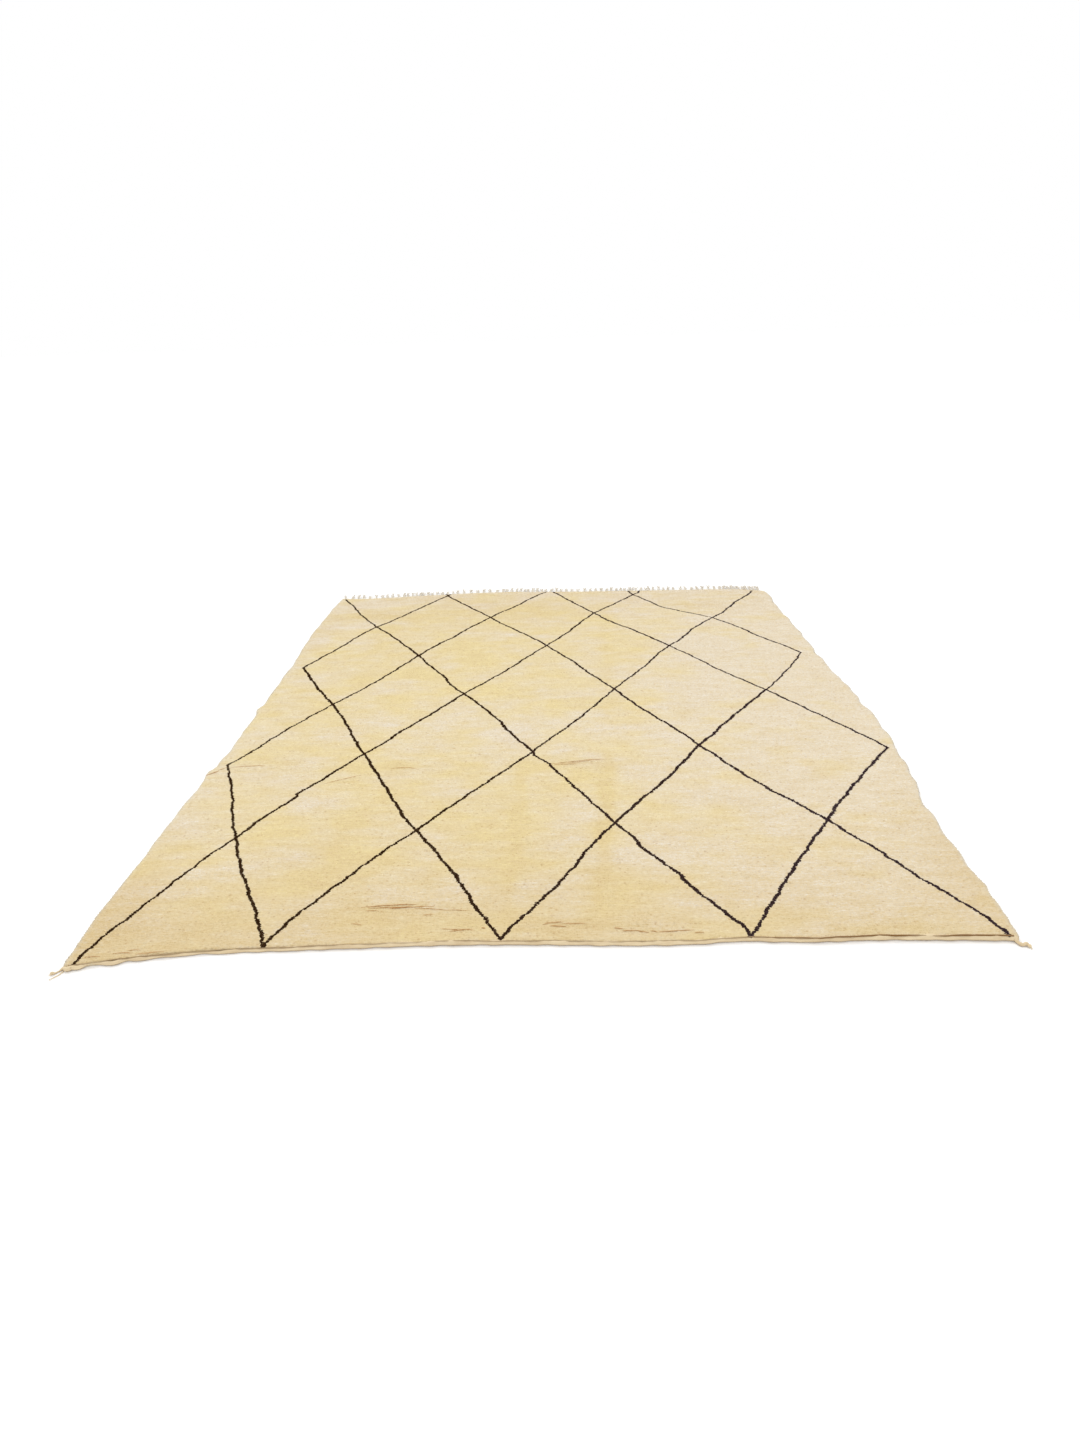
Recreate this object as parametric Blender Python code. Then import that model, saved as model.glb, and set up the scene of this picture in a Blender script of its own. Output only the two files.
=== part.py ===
"""Hand-knotted wool rug lying flat: pile carpet, twined heading cord with knotted ends, fringe.

Metres, +Z up. The floor is z = 0 and the origin is on it, at the middle of the rug.
+X runs across the width and +Y along the length, from the heading cord to the fringe.
"""
import math
import random
from collections import namedtuple

import bmesh
import bpy

# ---- driving dimensions ------------------------------------------------------------------
THICKNESS = 0.017          # ground weave and pile together
SHOULDER_RUN = 0.011       # how far in from the rim the pile reaches its full height
SHOULDER_DROP = 0.008      # how much lower the pile is at the rim
LUMP = 0.0012              # slow rise and fall of the pile's top
GAP = 0.0003               # clearance between neighbouring solids

COLUMNS = 24               # cells across and along, between the shoulder lines
ROWS = 68
SHOULDER_STEPS = (0.0, 0.15, 0.45, 1.0)    # shoulder lines, as shares of SHOULDER_RUN
EDGE_PASSES = 6            # turns in which a grid point settles between ends and selvedges

# The waves that make up the rise and fall: radians a metre, phase, and share of LUMP.
Wave = namedtuple("Wave", "across along phase share")
WAVES = (
    Wave(2.1, 1.3, 0.40, 0.37),
    Wave(-1.6, 3.4, 1.90, 0.37),
    Wave(5.3, -4.4, 0.17, 0.13),
    Wave(5.3, 4.4, 1.43, 0.13),
)

# Sideways waves of the selvedges: size and phase.
Scallop = namedtuple("Scallop", "size phase")
LEFT_SCALLOP = Scallop(0.0014, 0.6)
RIGHT_SCALLOP = Scallop(0.0035, 2.1)
SCALLOP_PITCH = 0.23
SECOND_SCALLOP = 0.5       # size of the shorter wave that breaks up the first, as a share
SECOND_PITCH = 1.73        # how many times shorter it is

# The selvedges: places across at stations along the length.
Side = namedtuple("Side", "along left right")
SIDES = (
    Side(-1.93, -1.366, 1.350),
    Side(-1.75, -1.375, 1.361),
    Side(-1.57, -1.379, 1.367),
    Side(-1.40, -1.373, 1.357),
    Side(-1.12, -1.373, 1.364),
    Side(-1.01, -1.371, 1.362),
    Side(-0.86, -1.369, 1.391),
    Side(-0.71, -1.376, 1.406),
    Side(-0.63, -1.361, 1.407),
    Side(-0.50, -1.358, 1.421),
    Side(-0.25, -1.356, 1.428),
    Side(-0.10, -1.357, 1.412),
    Side(-0.04, -1.367, 1.412),
    Side(0.05, -1.357, 1.410),
    Side(0.30, -1.362, 1.391),
    Side(0.60, -1.366, 1.381),
    Side(0.85, -1.377, 1.374),
    Side(1.12, -1.389, 1.364),
    Side(1.38, -1.382, 1.350),
    Side(1.60, -1.375, 1.353),
    Side(1.80, -1.360, 1.334),
)

# The two ends of the pile: places along at stations across the width.
End = namedtuple("End", "across near far")
ENDS = (
    End(-1.38, -1.912, 1.764),
    End(-1.31, -1.889, 1.752),
    End(-1.25, -1.875, 1.746),
    End(-1.15, -1.856, 1.748),
    End(-1.04, -1.840, 1.757),
    End(-0.93, -1.829, 1.770),
    End(-0.75, -1.822, 1.794),
    End(-0.53, -1.814, 1.811),
    End(-0.29, -1.805, 1.820),
    End(0.00, -1.808, 1.803),
    End(0.28, -1.815, 1.789),
    End(0.45, -1.813, 1.784),
    End(0.57, -1.803, 1.780),
    End(0.74, -1.810, 1.777),
    End(0.97, -1.805, 1.775),
    End(1.19, -1.809, 1.760),
    End(1.28, -1.812, 1.736),
    End(1.36, -1.817, 1.694),
)

CORD_RADIUS = 0.0085       # heading cord twined along the near end
CORD_UNEVEN = 0.05         # how much thinner it gets in places, as a share
CORD_WAVE = 41.0           # radians a metre between its thin places
CORD_SPLITS = 3            # points for each cell of the carpet's near edge
CORD_END_IN = 0.006        # the cord's full width stops this far inside the corners
CORD_LIFT = 0.0001         # clearance under the cord, so that its flats meet the floor evenly
CORD_BEVEL = 3             # bevel resolution: ten sides
STRAY_BEVEL = 1            # six sides
WELD = 0.00002             # points of a tube closer than this are one

# The cord's two ends past the corners: centre line and radius.
Tail = namedtuple("Tail", "across along radius")
LEFT_TAIL = (
    Tail(-1.3700, -1.9190, 0.0050),
    Tail(-1.3740, -1.9235, 0.0026),
    Tail(-1.3780, -1.9280, 0.0024),
    Tail(-1.3805, -1.9310, 0.0050),
    Tail(-1.3835, -1.9345, 0.0056),
    Tail(-1.3865, -1.9375, 0.0044),
    Tail(-1.3885, -1.9395, 0.0020),
)
RIGHT_TAIL = (
    Tail(1.3460, -1.8340, 0.0058),
    Tail(1.3500, -1.8420, 0.0046),
    Tail(1.3545, -1.8490, 0.0054),
    Tail(1.3590, -1.8530, 0.0042),
    Tail(1.3635, -1.8560, 0.0060),
    Tail(1.3675, -1.8600, 0.0064),
    Tail(1.3705, -1.8640, 0.0045),
    Tail(1.3730, -1.8680, 0.0022),
)
# A second, thinner yarn that leaves the cord beside the left tail.
STRAY_YARN = (
    Tail(-1.3560, -1.9180, 0.0016),
    Tail(-1.3610, -1.9260, 0.0016),
    Tail(-1.3650, -1.9350, 0.0015),
    Tail(-1.3710, -1.9430, 0.0014),
    Tail(-1.3800, -1.9490, 0.0011),
)

STRIP_WIDTH = 0.010        # narrow woven end that carries the fringe
STRIP_HEIGHT = 0.0055
STRIP_INSET = 0.012        # the strip stops this far inside the corners
TASSELS = 80
TASSEL_ENDS = (3, 2)       # strands of a tassel, in turn
STRAND_ROOT = 0.0031       # width of a strand where it leaves the strip
STRAND_ROOT_GAP = 0.0008
STRAND_WIDTH = 0.0044
STRAND_HEIGHT = 0.0036
STRAND_TIP = 0.55          # tip size as a share of the strand's
STRAND_LENGTH = 0.098
LENGTH_UNEVEN = 0.14       # shortest and longest strand, as a share
TASSEL_SPREAD = 0.0080     # sideways step between the tips of a tassel's strands
TASSEL_LEAN = 0.010        # sideways drift of whole tassels
LEAN_WAVE = 1.9            # radians a metre of that drift, and its phase
LEAN_PHASE = 0.7
TASSEL_JITTER = 0.003      # chance shifts of a tassel's place, lean and tips
LEAN_JITTER = 0.002
TIP_JITTER = 0.001
STRAND_STEPS = (0.22, 0.62, 1.0)
FRONT_NORMAL = 0.7         # the strip's outer faces point further along +Y than this
SEED = 11

PILE_SHARP = 50.0          # degrees past which an edge is drawn sharp
FRINGE_SHARP = 30.0

Material = namedtuple("Material", "name colour roughness")
PILE_WOOL = Material("pile_wool", (0.80, 0.68, 0.47), 0.95)
CORD_WOOL = Material("cord_wool", (0.74, 0.62, 0.43), 0.90)
FRINGE_WOOL = Material("fringe_wool", (0.66, 0.60, 0.48), 0.90)


# ---- helpers -----------------------------------------------------------------------------
def clear_scene():
    for old in list(bpy.data.objects):
        bpy.data.objects.remove(old, do_unlink=True)


def new_collection(name):
    collection = bpy.data.collections.new(name)
    bpy.context.scene.collection.children.link(collection)
    return collection


def make_material(spec):
    material = bpy.data.materials.new(spec.name)
    material.use_nodes = True
    shader = material.node_tree.nodes["Principled BSDF"]
    shader.inputs["Base Color"].default_value = (*spec.colour, 1.0)
    shader.inputs["Roughness"].default_value = spec.roughness
    shader.inputs["Metallic"].default_value = 0.0
    return material


def object_from_bmesh(bm, name, spec, collection, smooth_deg=PILE_SHARP):
    bmesh.ops.recalc_face_normals(bm, faces=bm.faces)
    mesh = bpy.data.meshes.new(name)
    bm.to_mesh(mesh)
    bm.free()
    mesh.materials.append(make_material(spec))
    mesh.shade_smooth()
    mesh.set_sharp_from_angle(angle=math.radians(smooth_deg))
    made = bpy.data.objects.new(name, mesh)
    collection.objects.link(made)
    return made


def read_table(table, key, column, at):
    """Smooth value of one column of a table at a place between its rows."""
    keys = [getattr(row, key) for row in table]
    values = [getattr(row, column) for row in table]
    last = len(keys) - 1
    at = min(max(at, keys[0]), keys[last])
    i = 0
    while i < last - 1 and at > keys[i + 1]:
        i += 1
    step = keys[i + 1] - keys[i]
    t = (at - keys[i]) / step
    before, after = max(i - 1, 0), min(i + 2, last)
    slope_in = (values[i + 1] - values[before]) / (keys[i + 1] - keys[before])
    slope_out = (values[after] - values[i]) / (keys[after] - keys[i])
    t2, t3 = t * t, t * t * t
    return ((2 * t3 - 3 * t2 + 1) * values[i] + (t3 - 2 * t2 + t) * step * slope_in
            + (3 * t2 - 2 * t3) * values[i + 1] + (t3 - t2) * step * slope_out)


def scallop(along, wave):
    turn = 2 * math.pi * along / SCALLOP_PITCH
    return wave.size * (math.sin(turn + wave.phase)
                        + SECOND_SCALLOP * math.sin(SECOND_PITCH * turn + 2 * wave.phase))


def left_edge(along):
    return read_table(SIDES, "along", "left", along) + scallop(along, LEFT_SCALLOP)


def right_edge(along):
    return read_table(SIDES, "along", "right", along) + scallop(along, RIGHT_SCALLOP)


def carpet_point(u, v):
    """Place on the floor of the share u across and v along the carpet."""
    across = left_edge(0.0) + u * (right_edge(0.0) - left_edge(0.0))
    along = 0.0
    for _ in range(EDGE_PASSES):
        near = read_table(ENDS, "across", "near", across)
        far = read_table(ENDS, "across", "far", across)
        along = near + v * (far - near)
        across = left_edge(along) + u * (right_edge(along) - left_edge(along))
    return across, along


def grid_shares(cells, span):
    """Shares of the span at which grid lines lie, with the shoulder's lines at both ends."""
    rim = [step * SHOULDER_RUN / span for step in SHOULDER_STEPS]
    inner = [rim[-1] + (1 - 2 * rim[-1]) * i / cells for i in range(1, cells)]
    return rim + inner + [1 - share for share in reversed(rim)]


def shoulder(inset):
    """Drop of the pile's top at a distance in from the rim, on a quarter of an ellipse."""
    t = min(inset / SHOULDER_RUN, 1.0)
    return SHOULDER_DROP * (1 - math.sqrt(1 - (1 - t) ** 2))


def pile_top(across, along):
    return THICKNESS + LUMP * sum(
        wave.share * math.sin(wave.across * across + wave.along * along + wave.phase) for wave in WAVES)


# Sizes through the middle of the rug, and the shares at which its grid lines lie.
WIDTH = right_edge(0.0) - left_edge(0.0)
LENGTH = read_table(ENDS, "across", "far", 0.0) - read_table(ENDS, "across", "near", 0.0)
ACROSS_SHARES = grid_shares(COLUMNS, WIDTH)
ALONG_SHARES = grid_shares(ROWS, LENGTH)


def rim_points(v):
    """The carpet's rim at one end, as its solid has it: a point on each grid line."""
    return [carpet_point(u, v) for u in ACROSS_SHARES]


# ---- the pile carpet ---------------------------------------------------------------------
def make_pile_field(collection):
    """Flat-bottomed slab with a soft, wavy rim: a grid that is shaped, then closed below."""
    bm = bmesh.new()
    across_lines, along_lines = len(ACROSS_SHARES), len(ALONG_SHARES)
    bmesh.ops.create_grid(bm, x_segments=across_lines - 1, y_segments=along_lines - 1, size=0.5)
    for vert in bm.verts:
        column = round((vert.co.x + 0.5) * (across_lines - 1))
        row = round((vert.co.y + 0.5) * (along_lines - 1))
        u, v = ACROSS_SHARES[column], ALONG_SHARES[row]
        across, along = carpet_point(u, v)
        drop = max(shoulder(min(u, 1 - u) * WIDTH), shoulder(min(v, 1 - v) * LENGTH))
        vert.co = (across, along, pile_top(across, along) - drop)
    rim = [edge for edge in bm.edges if edge.is_boundary]
    walls = bmesh.ops.extrude_edge_only(bm, edges=rim)["geom"]
    for item in walls:
        if isinstance(item, bmesh.types.BMVert):
            item.co.z = 0.0
    bottom = [edge for edge in bm.edges if edge.is_boundary]
    bmesh.ops.contextual_create(bm, geom=bottom)
    return object_from_bmesh(bm, "pile_field", PILE_WOOL, collection)


# ---- the heading cord --------------------------------------------------------------------
def cord_centres():
    """The cord's centre line beside the carpet's near rim, and its radius at each point."""
    rim = rim_points(0.0)
    rim = [rim[0]] + rim[len(SHOULDER_STEPS) - 1:-(len(SHOULDER_STEPS) - 1)] + [rim[-1]]
    points = []
    for i, (across, along) in enumerate(rim):
        before, after = rim[max(i - 1, 0)], rim[min(i + 1, len(rim) - 1)]
        run, rise = after[0] - before[0], after[1] - before[1]
        size = math.hypot(run, rise)
        reach = CORD_RADIUS + GAP
        points.append((across + reach * rise / size, along - reach * run / size))
    first = (points[0][0] + CORD_END_IN, points[0][1])
    last = (points[-1][0] - CORD_END_IN, points[-1][1])
    points = [first] + points[1:-1] + [last]
    centres = []
    for (x0, y0), (x1, y1) in zip(points, points[1:]):
        for k in range(CORD_SPLITS):
            t = k / CORD_SPLITS
            across, along = x0 + t * (x1 - x0), y0 + t * (y1 - y0)
            thinning = CORD_UNEVEN * (1 + math.sin(CORD_WAVE * across)) / 2
            centres.append((across, along, CORD_RADIUS * (1 - thinning)))
    centres.append((*points[-1], CORD_RADIUS))
    return centres


def tube(points, name, bevel):
    """Closed mesh of a round tube that rests on the floor along its points."""
    curve = bpy.data.curves.new(name, "CURVE")
    curve.dimensions = "3D"
    curve.twist_mode = "Z_UP"
    curve.bevel_depth = 1.0
    curve.bevel_resolution = bevel
    curve.use_fill_caps = True
    spline = curve.splines.new("POLY")
    spline.points.add(len(points) - 1)
    for point, (across, along, radius) in zip(spline.points, points):
        point.co = (across, along, radius + CORD_LIFT, 1.0)
        point.radius = radius
    holder = bpy.data.objects.new(name, curve)
    bpy.context.scene.collection.objects.link(holder)
    bpy.context.view_layer.update()
    evaluated = holder.evaluated_get(bpy.context.evaluated_depsgraph_get())
    mesh = bpy.data.meshes.new_from_object(evaluated)
    bpy.data.objects.remove(holder, do_unlink=True)
    bm = bmesh.new()
    bm.from_mesh(mesh)
    bmesh.ops.remove_doubles(bm, verts=bm.verts, dist=WELD)
    return bm


def make_heading_cord(collection, cutters):
    body = cord_centres()
    route = [tuple(row) for row in reversed(LEFT_TAIL)] + body + [tuple(row) for row in RIGHT_TAIL]
    cord = object_from_bmesh(tube(route, "heading_cord", CORD_BEVEL), "heading_cord", CORD_WOOL, collection)
    stray = object_from_bmesh(tube([tuple(row) for row in STRAY_YARN], "stray_yarn", STRAY_BEVEL),
                              "stray_yarn", CORD_WOOL, cutters)
    stray.hide_render = True
    stray.display_type = "WIRE"
    union = cord.modifiers.new("stray_yarn", "BOOLEAN")
    union.operation = "UNION"
    union.solver = "EXACT"
    union.object = stray
    return cord


# ---- the fringe --------------------------------------------------------------------------
def line_along(points, across):
    """Place along of a run of straight pieces, at a place across."""
    for (x0, y0), (x1, y1) in zip(points, points[1:]):
        if across <= x1:
            return y0 + (y1 - y0) * (across - x0) / (x1 - x0)
    return points[-1][1]


def fringe_cells(start, end, dice):
    """Cell borders along the strip, and for each strand its cell, tip shift and length."""
    pitch = (end - start) / TASSELS
    borders, strands = [start], []
    for tassel in range(TASSELS):
        centre = start + (tassel + 0.5) * pitch + dice.uniform(-TASSEL_JITTER, TASSEL_JITTER)
        count = TASSEL_ENDS[tassel % len(TASSEL_ENDS)]
        lean = (TASSEL_LEAN * math.sin(LEAN_WAVE * centre + LEAN_PHASE)
                + dice.uniform(-LEAN_JITTER, LEAN_JITTER))
        size = STRAND_LENGTH * (1 + dice.uniform(-0.5, 0.5) * LENGTH_UNEVEN)
        left = centre - 0.5 * (count * STRAND_ROOT + (count - 1) * STRAND_ROOT_GAP)
        for k in range(count):
            borders += [left, left + STRAND_ROOT]
            shift = lean + (k - (count - 1) / 2) * TASSEL_SPREAD + dice.uniform(-TIP_JITTER, TIP_JITTER)
            length = size * (1 + dice.uniform(-0.5, 0.5) * LENGTH_UNEVEN)
            strands.append((len(borders) - 2, shift, length))
            left += STRAND_ROOT + STRAND_ROOT_GAP
    borders.append(end)
    return borders, strands


def grow_strand(bm, face, shift, length):
    """Extrude one strand from its cell of the strip's outer face, lying level on the floor."""
    root_across = sum(vert.co.x for vert in face.verts) / 4
    root_along = sum(vert.co.y for vert in face.verts) / 4
    for step in STRAND_STEPS:
        face = bmesh.ops.extrude_discrete_faces(bm, faces=[face])["faces"][0]
        middle_x = sum(vert.co.x for vert in face.verts) / 4
        middle_z = sum(vert.co.z for vert in face.verts) / 4
        eased = step * step * (3 - 2 * step)
        bend = (step + eased) / 2
        size = 1.0 if step < 1.0 else STRAND_TIP
        for vert in face.verts:
            side = 1.0 if vert.co.x > middle_x else -1.0
            raised = vert.co.z > middle_z
            vert.co.x = root_across + shift * bend + side * 0.5 * STRAND_WIDTH * size
            vert.co.y = root_along + length * step
            vert.co.z = STRAND_HEIGHT * size if raised else 0.0


def make_strip(bm, rim, borders):
    """The woven end: a flat outline along the carpet's rim, raised to its height."""
    start, end = borders[0], borders[-1]
    inner = [start] + [across for across, _ in rim if start < across < end] + [end]
    outline = [(across, line_along(rim, across) + 2 * GAP) for across in inner]
    outline += [(across, line_along(rim, across) + 2 * GAP + STRIP_WIDTH) for across in reversed(borders)]
    verts = [bm.verts.new((across, along, 0.0)) for across, along in outline]
    edges = [bm.edges.new(pair) for pair in zip(verts, verts[1:] + verts[:1])]
    bottom = bmesh.ops.contextual_create(bm, geom=edges)["faces"]
    raised = bmesh.ops.extrude_face_region(bm, geom=bottom)["geom"]
    for item in raised:
        if isinstance(item, bmesh.types.BMVert):
            item.co.z = STRIP_HEIGHT
    bmesh.ops.recalc_face_normals(bm, faces=bm.faces)
    fronts = [face for face in bm.faces if face.normal.y > FRONT_NORMAL]
    fronts.sort(key=lambda face: face.calc_center_median().x)
    return fronts


def make_fringe(collection):
    dice = random.Random(SEED)
    rim = rim_points(1.0)
    start, end = rim[0][0] + STRIP_INSET, rim[-1][0] - STRIP_INSET
    borders, strands = fringe_cells(start, end, dice)
    bm = bmesh.new()
    fronts = make_strip(bm, rim, borders)
    chosen = [(fronts[cell], shift, length) for cell, shift, length in strands]
    for face, shift, length in chosen:
        grow_strand(bm, face, shift, length)
    return object_from_bmesh(bm, "fringe", FRINGE_WOOL, collection, smooth_deg=FRINGE_SHARP)


def main():
    clear_scene()
    rug = new_collection("beni_ourain_rug")
    cutters = new_collection("cutters")
    make_pile_field(rug)
    make_heading_cord(rug, cutters)
    make_fringe(rug)


main()
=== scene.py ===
import math
from collections import namedtuple

import bpy
import numpy as np
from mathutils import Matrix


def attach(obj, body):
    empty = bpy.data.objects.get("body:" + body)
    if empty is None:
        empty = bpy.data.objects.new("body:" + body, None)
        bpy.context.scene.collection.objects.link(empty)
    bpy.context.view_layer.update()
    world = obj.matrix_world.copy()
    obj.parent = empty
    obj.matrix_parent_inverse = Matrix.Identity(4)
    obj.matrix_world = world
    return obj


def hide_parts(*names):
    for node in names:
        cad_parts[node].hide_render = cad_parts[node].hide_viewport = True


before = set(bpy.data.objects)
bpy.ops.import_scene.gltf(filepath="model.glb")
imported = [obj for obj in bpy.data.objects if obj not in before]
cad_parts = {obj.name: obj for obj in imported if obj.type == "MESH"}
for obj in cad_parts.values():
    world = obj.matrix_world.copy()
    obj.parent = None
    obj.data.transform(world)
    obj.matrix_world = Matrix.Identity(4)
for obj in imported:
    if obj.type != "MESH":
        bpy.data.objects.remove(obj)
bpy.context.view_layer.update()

dice = np.random.default_rng(20)
METRE = 1000  # in millimetres


def in_metres(lengths, rows):
    """A table as an array, with its first columns, the lengths, turned into metres."""
    table = np.array(rows, float)
    table[:, :lengths] /= METRE
    return table


def named_rows(fields, lengths, rows):
    """The rows of such a table, with names for their columns."""
    kind = namedtuple("Row", fields)
    return [kind(*row) for row in in_metres(lengths, rows)]


# ---- sizes shared with part.py ----
THICKNESS = 0.017
SHOULDER_RUN = 0.011
SHOULDER_DROP = 0.008
LUMP = 0.0012
EDGE_PASSES = 6

# Low waves of the whole cloth: turn per metre across and along, phase, share of LUMP.
WAVES = named_rows("across along phase share", 0, (
    (2.1, 1.3, 0.4, 0.37), (-1.6, 3.4, 1.9, 0.37), (5.3, -4.4, 0.17, 0.13), (5.3, 4.4, 1.43, 0.13),
))
Scallop = namedtuple("Scallop", "size phase")
LEFT_SCALLOP = Scallop(0.0014, 0.6)
RIGHT_SCALLOP = Scallop(0.0035, 2.1)
SCALLOP_PITCH = 0.23
SECOND_SCALLOP = 0.5
SECOND_PITCH = 1.73

# The selvedges: along, left, right.
SIDES = in_metres(3, (
    (-1930, -1366, 1350), (-1750, -1375, 1361), (-1570, -1379, 1367), (-1400, -1373, 1357),
    (-1120, -1373, 1364), (-1010, -1371, 1362), (-860, -1369, 1391), (-710, -1376, 1406),
    (-630, -1361, 1407), (-500, -1358, 1421), (-250, -1356, 1428), (-100, -1357, 1412), (-40, -1367, 1412),
    (50, -1357, 1410), (300, -1362, 1391), (600, -1366, 1381), (850, -1377, 1374), (1120, -1389, 1364),
    (1380, -1382, 1350), (1600, -1375, 1353), (1800, -1360, 1334),
))
# The ends of the pile: across, near, far.
ENDS = in_metres(3, (
    (-1380, -1912, 1764), (-1310, -1889, 1752), (-1250, -1875, 1746), (-1150, -1856, 1748),
    (-1040, -1840, 1757), (-930, -1829, 1770), (-750, -1822, 1794), (-530, -1814, 1811),
    (-290, -1805, 1820), (0, -1808, 1803), (280, -1815, 1789), (450, -1813, 1784), (570, -1803, 1780),
    (740, -1810, 1777), (970, -1805, 1775), (1190, -1809, 1760), (1280, -1812, 1736), (1360, -1817, 1694),
))

# ---- outline, folds and stains ----
# The cord's ends past the corners, a few millimetres off the solid's: across, along, radius.
CORD_END_IN = 0.012
LEFT_TAIL = in_metres(3, (
    (-1360, -1906, 5), (-1366, -1912.5, 2.6), (-1371, -1918, 2.2), (-1375.5, -1924, 2.4),
    (-1380, -1927, 4.6), (-1384, -1929, 4.8), (-1387, -1930.5, 1.8),
))
RIGHT_TAIL = in_metres(3, (
    (1344, -1834, 6), (1346.5, -1842, 4.6), (1349.5, -1848, 5.4), (1355, -1850, 4), (1360, -1848, 5.4),
    (1365, -1847.5, 6), (1368.5, -1851, 4.2), (1370.5, -1856, 5.2), (1371.6, -1860.5, 2),
))
STRAY_YARN = in_metres(3, (
    (-1355, -1912, 1.6), (-1359.5, -1924, 1.6), (-1362.5, -1932, 1.5), (-1369, -1940, 1.4),
    (-1376, -1948, 1),
))
# The tails' knots: across, along, size, radius of the yarn.
TAIL_KNOTS = in_metres(4, (
    (-1382.5, -1928.2, 4.4, 1.9), (1349, -1847.5, 4.6, 2), (1365.5, -1848, 5.4, 2.2),
))
# The frayed ends: across, along, heading.
FRAYS = in_metres(2, (
    (-1386, -1930, 0.6), (-1375, -1947.5, 0.9), (1371.2, -1860, -0.9), (-1364, -1906, -0.4),
))
FRAY_HAIRS = 9

# Small bumps of the selvedges that the solid goes without: along, outward, reach.
LEFT_BUMPS = in_metres(3, (
    (1220, -5.5, 160), (780, 3, 60), (550, -4, 80), (420, 1.5, 50), (120, 3, 50), (-500, -9, 60),
    (-655, -3.5, 30), (-700, 3.5, 22), (-770, -8, 60), (-2, -6, 22), (-75, 5, 25), (-345, -4.5, 35),
    (-845, -3.5, 30), (-940, 2, 40), (-1140, 1.5, 40), (-1500, -2, 40), (-1925, -12, 22),
))
RIGHT_BUMPS = in_metres(3, (
    (-615, 4.5, 35), (-1030, 4.5, 30), (-1570, 5, 25), (550, -5, 70), (230, -4, 30), (90, 7.5, 45),
    (-60, 3.5, 40), (-300, -3, 50), (-405, -3, 30), (-530, 4, 40), (-690, -4, 25), (-775, 4, 30),
    (-890, 7, 30), (-945, 5, 30), (-1240, -4.5, 40), (-1330, 5.5, 40), (-1450, -2, 45), (-1625, -8.5, 40),
    (-1730, 6.5, 25), (-1848, -7, 24),
))
LEFT_IN, RIGHT_IN = 0.0045, 0.0015  # the tufts spread past these rims about as far as the solid's

# Soft folds in the whole cloth: from, to, half width, rise, golden tint, which also sets the painted shade in
# the fold.
FOLDS = named_rows("x0 y0 x1 y1 width rise gold", 6, (
    (-110, -1800, -95, -600, 30, -1, 0.36), (-95, -600, -70, 750, 40, -0.6, 0.16),
    (165, -1800, 262, -470, 30, -1.1, 0.5), (262, -470, 330, 1750, 35, -0.6, 0.18),
    (-715, -1620, -700, -800, 45, -0.6, 0.2), (-1375, -702, -1040, -689, 10, -2.2, 0.1),
    (-1040, -689, -420, -692, 14, -1, 0.1), (-20, -668, 300, -690, 12, -1.2, 0.1),
    (-1000, -640, 900, -730, 50, 0.8, 0), (-620, -1630, -200, -1640, 18, 1.2, 0.05),
    (0, -1735, 480, -1760, 14, 1, 0.05),
))
FOLD_TAPER = 0.16  # share of a fold that fades at each end
FOLD_WANDER = 0.35  # how far it wanders, as a share of its width
FOLD_SHADE = 0.4  # painted shade in a fold, for each golden tint of it

# Fine brown wrinkles, where the pile parts between two rows of knots and a weft shows, browned by the weft
# and by painted shade in the crease:
# from, to, sideways bow, half width of the parting, strength.
WRINKLES = named_rows("x0 y0 x1 y1 bow width strength", 6, (
    # the arched ones over the near left fold
    (-558, -1646, -385, -1634, 1.5, 3.6, 0.8), (-535, -1650, -330, -1644, -2, 3.6, 0.85),
    (-470, -1655, -398, -1648, 0, 3.4, 0.65), (-392, -1654, -290, -1665, 1, 3, 0.32),
    (-300, -1665, -225, -1668, 0, 3, 0.15), (-540, -1662, -498, -1666, 0, 3, 0.35),
    (-362, -1689, -332, -1689, 0, 3, 0.25),
    # short ones nearer to the cord
    (-572, -1728, -534, -1735, 0, 3, 0.3), (-273, -1772, -203, -1761, 0, 3.4, 0.5),
    (-300, -1757, -240, -1767, 0, 3, 0.3), (-266, -1760, -196, -1767, 0, 3, 0.25),
    (-178, -1756, -166, -1758, 0, 3.6, 0.85), (2, -1744, 66, -1733, 2.7, 3.6, 0.6),
    (24, -1751, 72, -1755, 0, 4, 0.85), (60, -1741, 136, -1744, 0, 3.4, 0.4),
    (212, -1765, 240, -1770, 0, 3.4, 0.6), (236, -1779, 276, -1778, 0, 3.6, 0.9),
    (274, -1775, 312, -1788, -3, 3.4, 0.8), (318, -1781, 336, -1787, 0, 3, 0.6),
    (336, -1787, 445, -1778, -0.8, 3.4, 0.75), (440, -1792, 474, -1791, 0, 3, 0.4),
    # beside the long fold across the middle
    (12, -682, 240, -646, 0.6, 5, 0.4), (20, -690, 130, -688, 0, 5, 0.4),
    (84, -678, 176, -662, 0, 4.5, 0.25), (-632, -702, -512, -711, 12, 4.5, 0.3),
    # the two from (-1366, -738) on, by the left selvedge, are a fold's shadow, painted brown
    (-868, -822, -735, -752, 0, 4.5, 0.15), (-1366, -738, -1326, -690, 0, 7, 0.8),
    (-1332, -693, -1300, -662, 0, 5, 0.35), (-1290, -664, -1150, -651, 0, 5, 0.3),
    # by the left end of the cord
    (-1240, -1857, -1180, -1855, 0.9, 3.4, 0.5), (-1315, -1874, -1268, -1869, 0, 3, 0.35),
    (-1200, -1844, -1162, -1842, 0, 3, 0.3), (-1170, -1862, -1090, -1850, 0, 3, 0.4),
))
WRINKLE_TAPER = 0.3
# share of brown for the wrinkles: the weft's own and painted shade
WRINKLE_BROWN_AND_SHADE = 0.16

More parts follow.
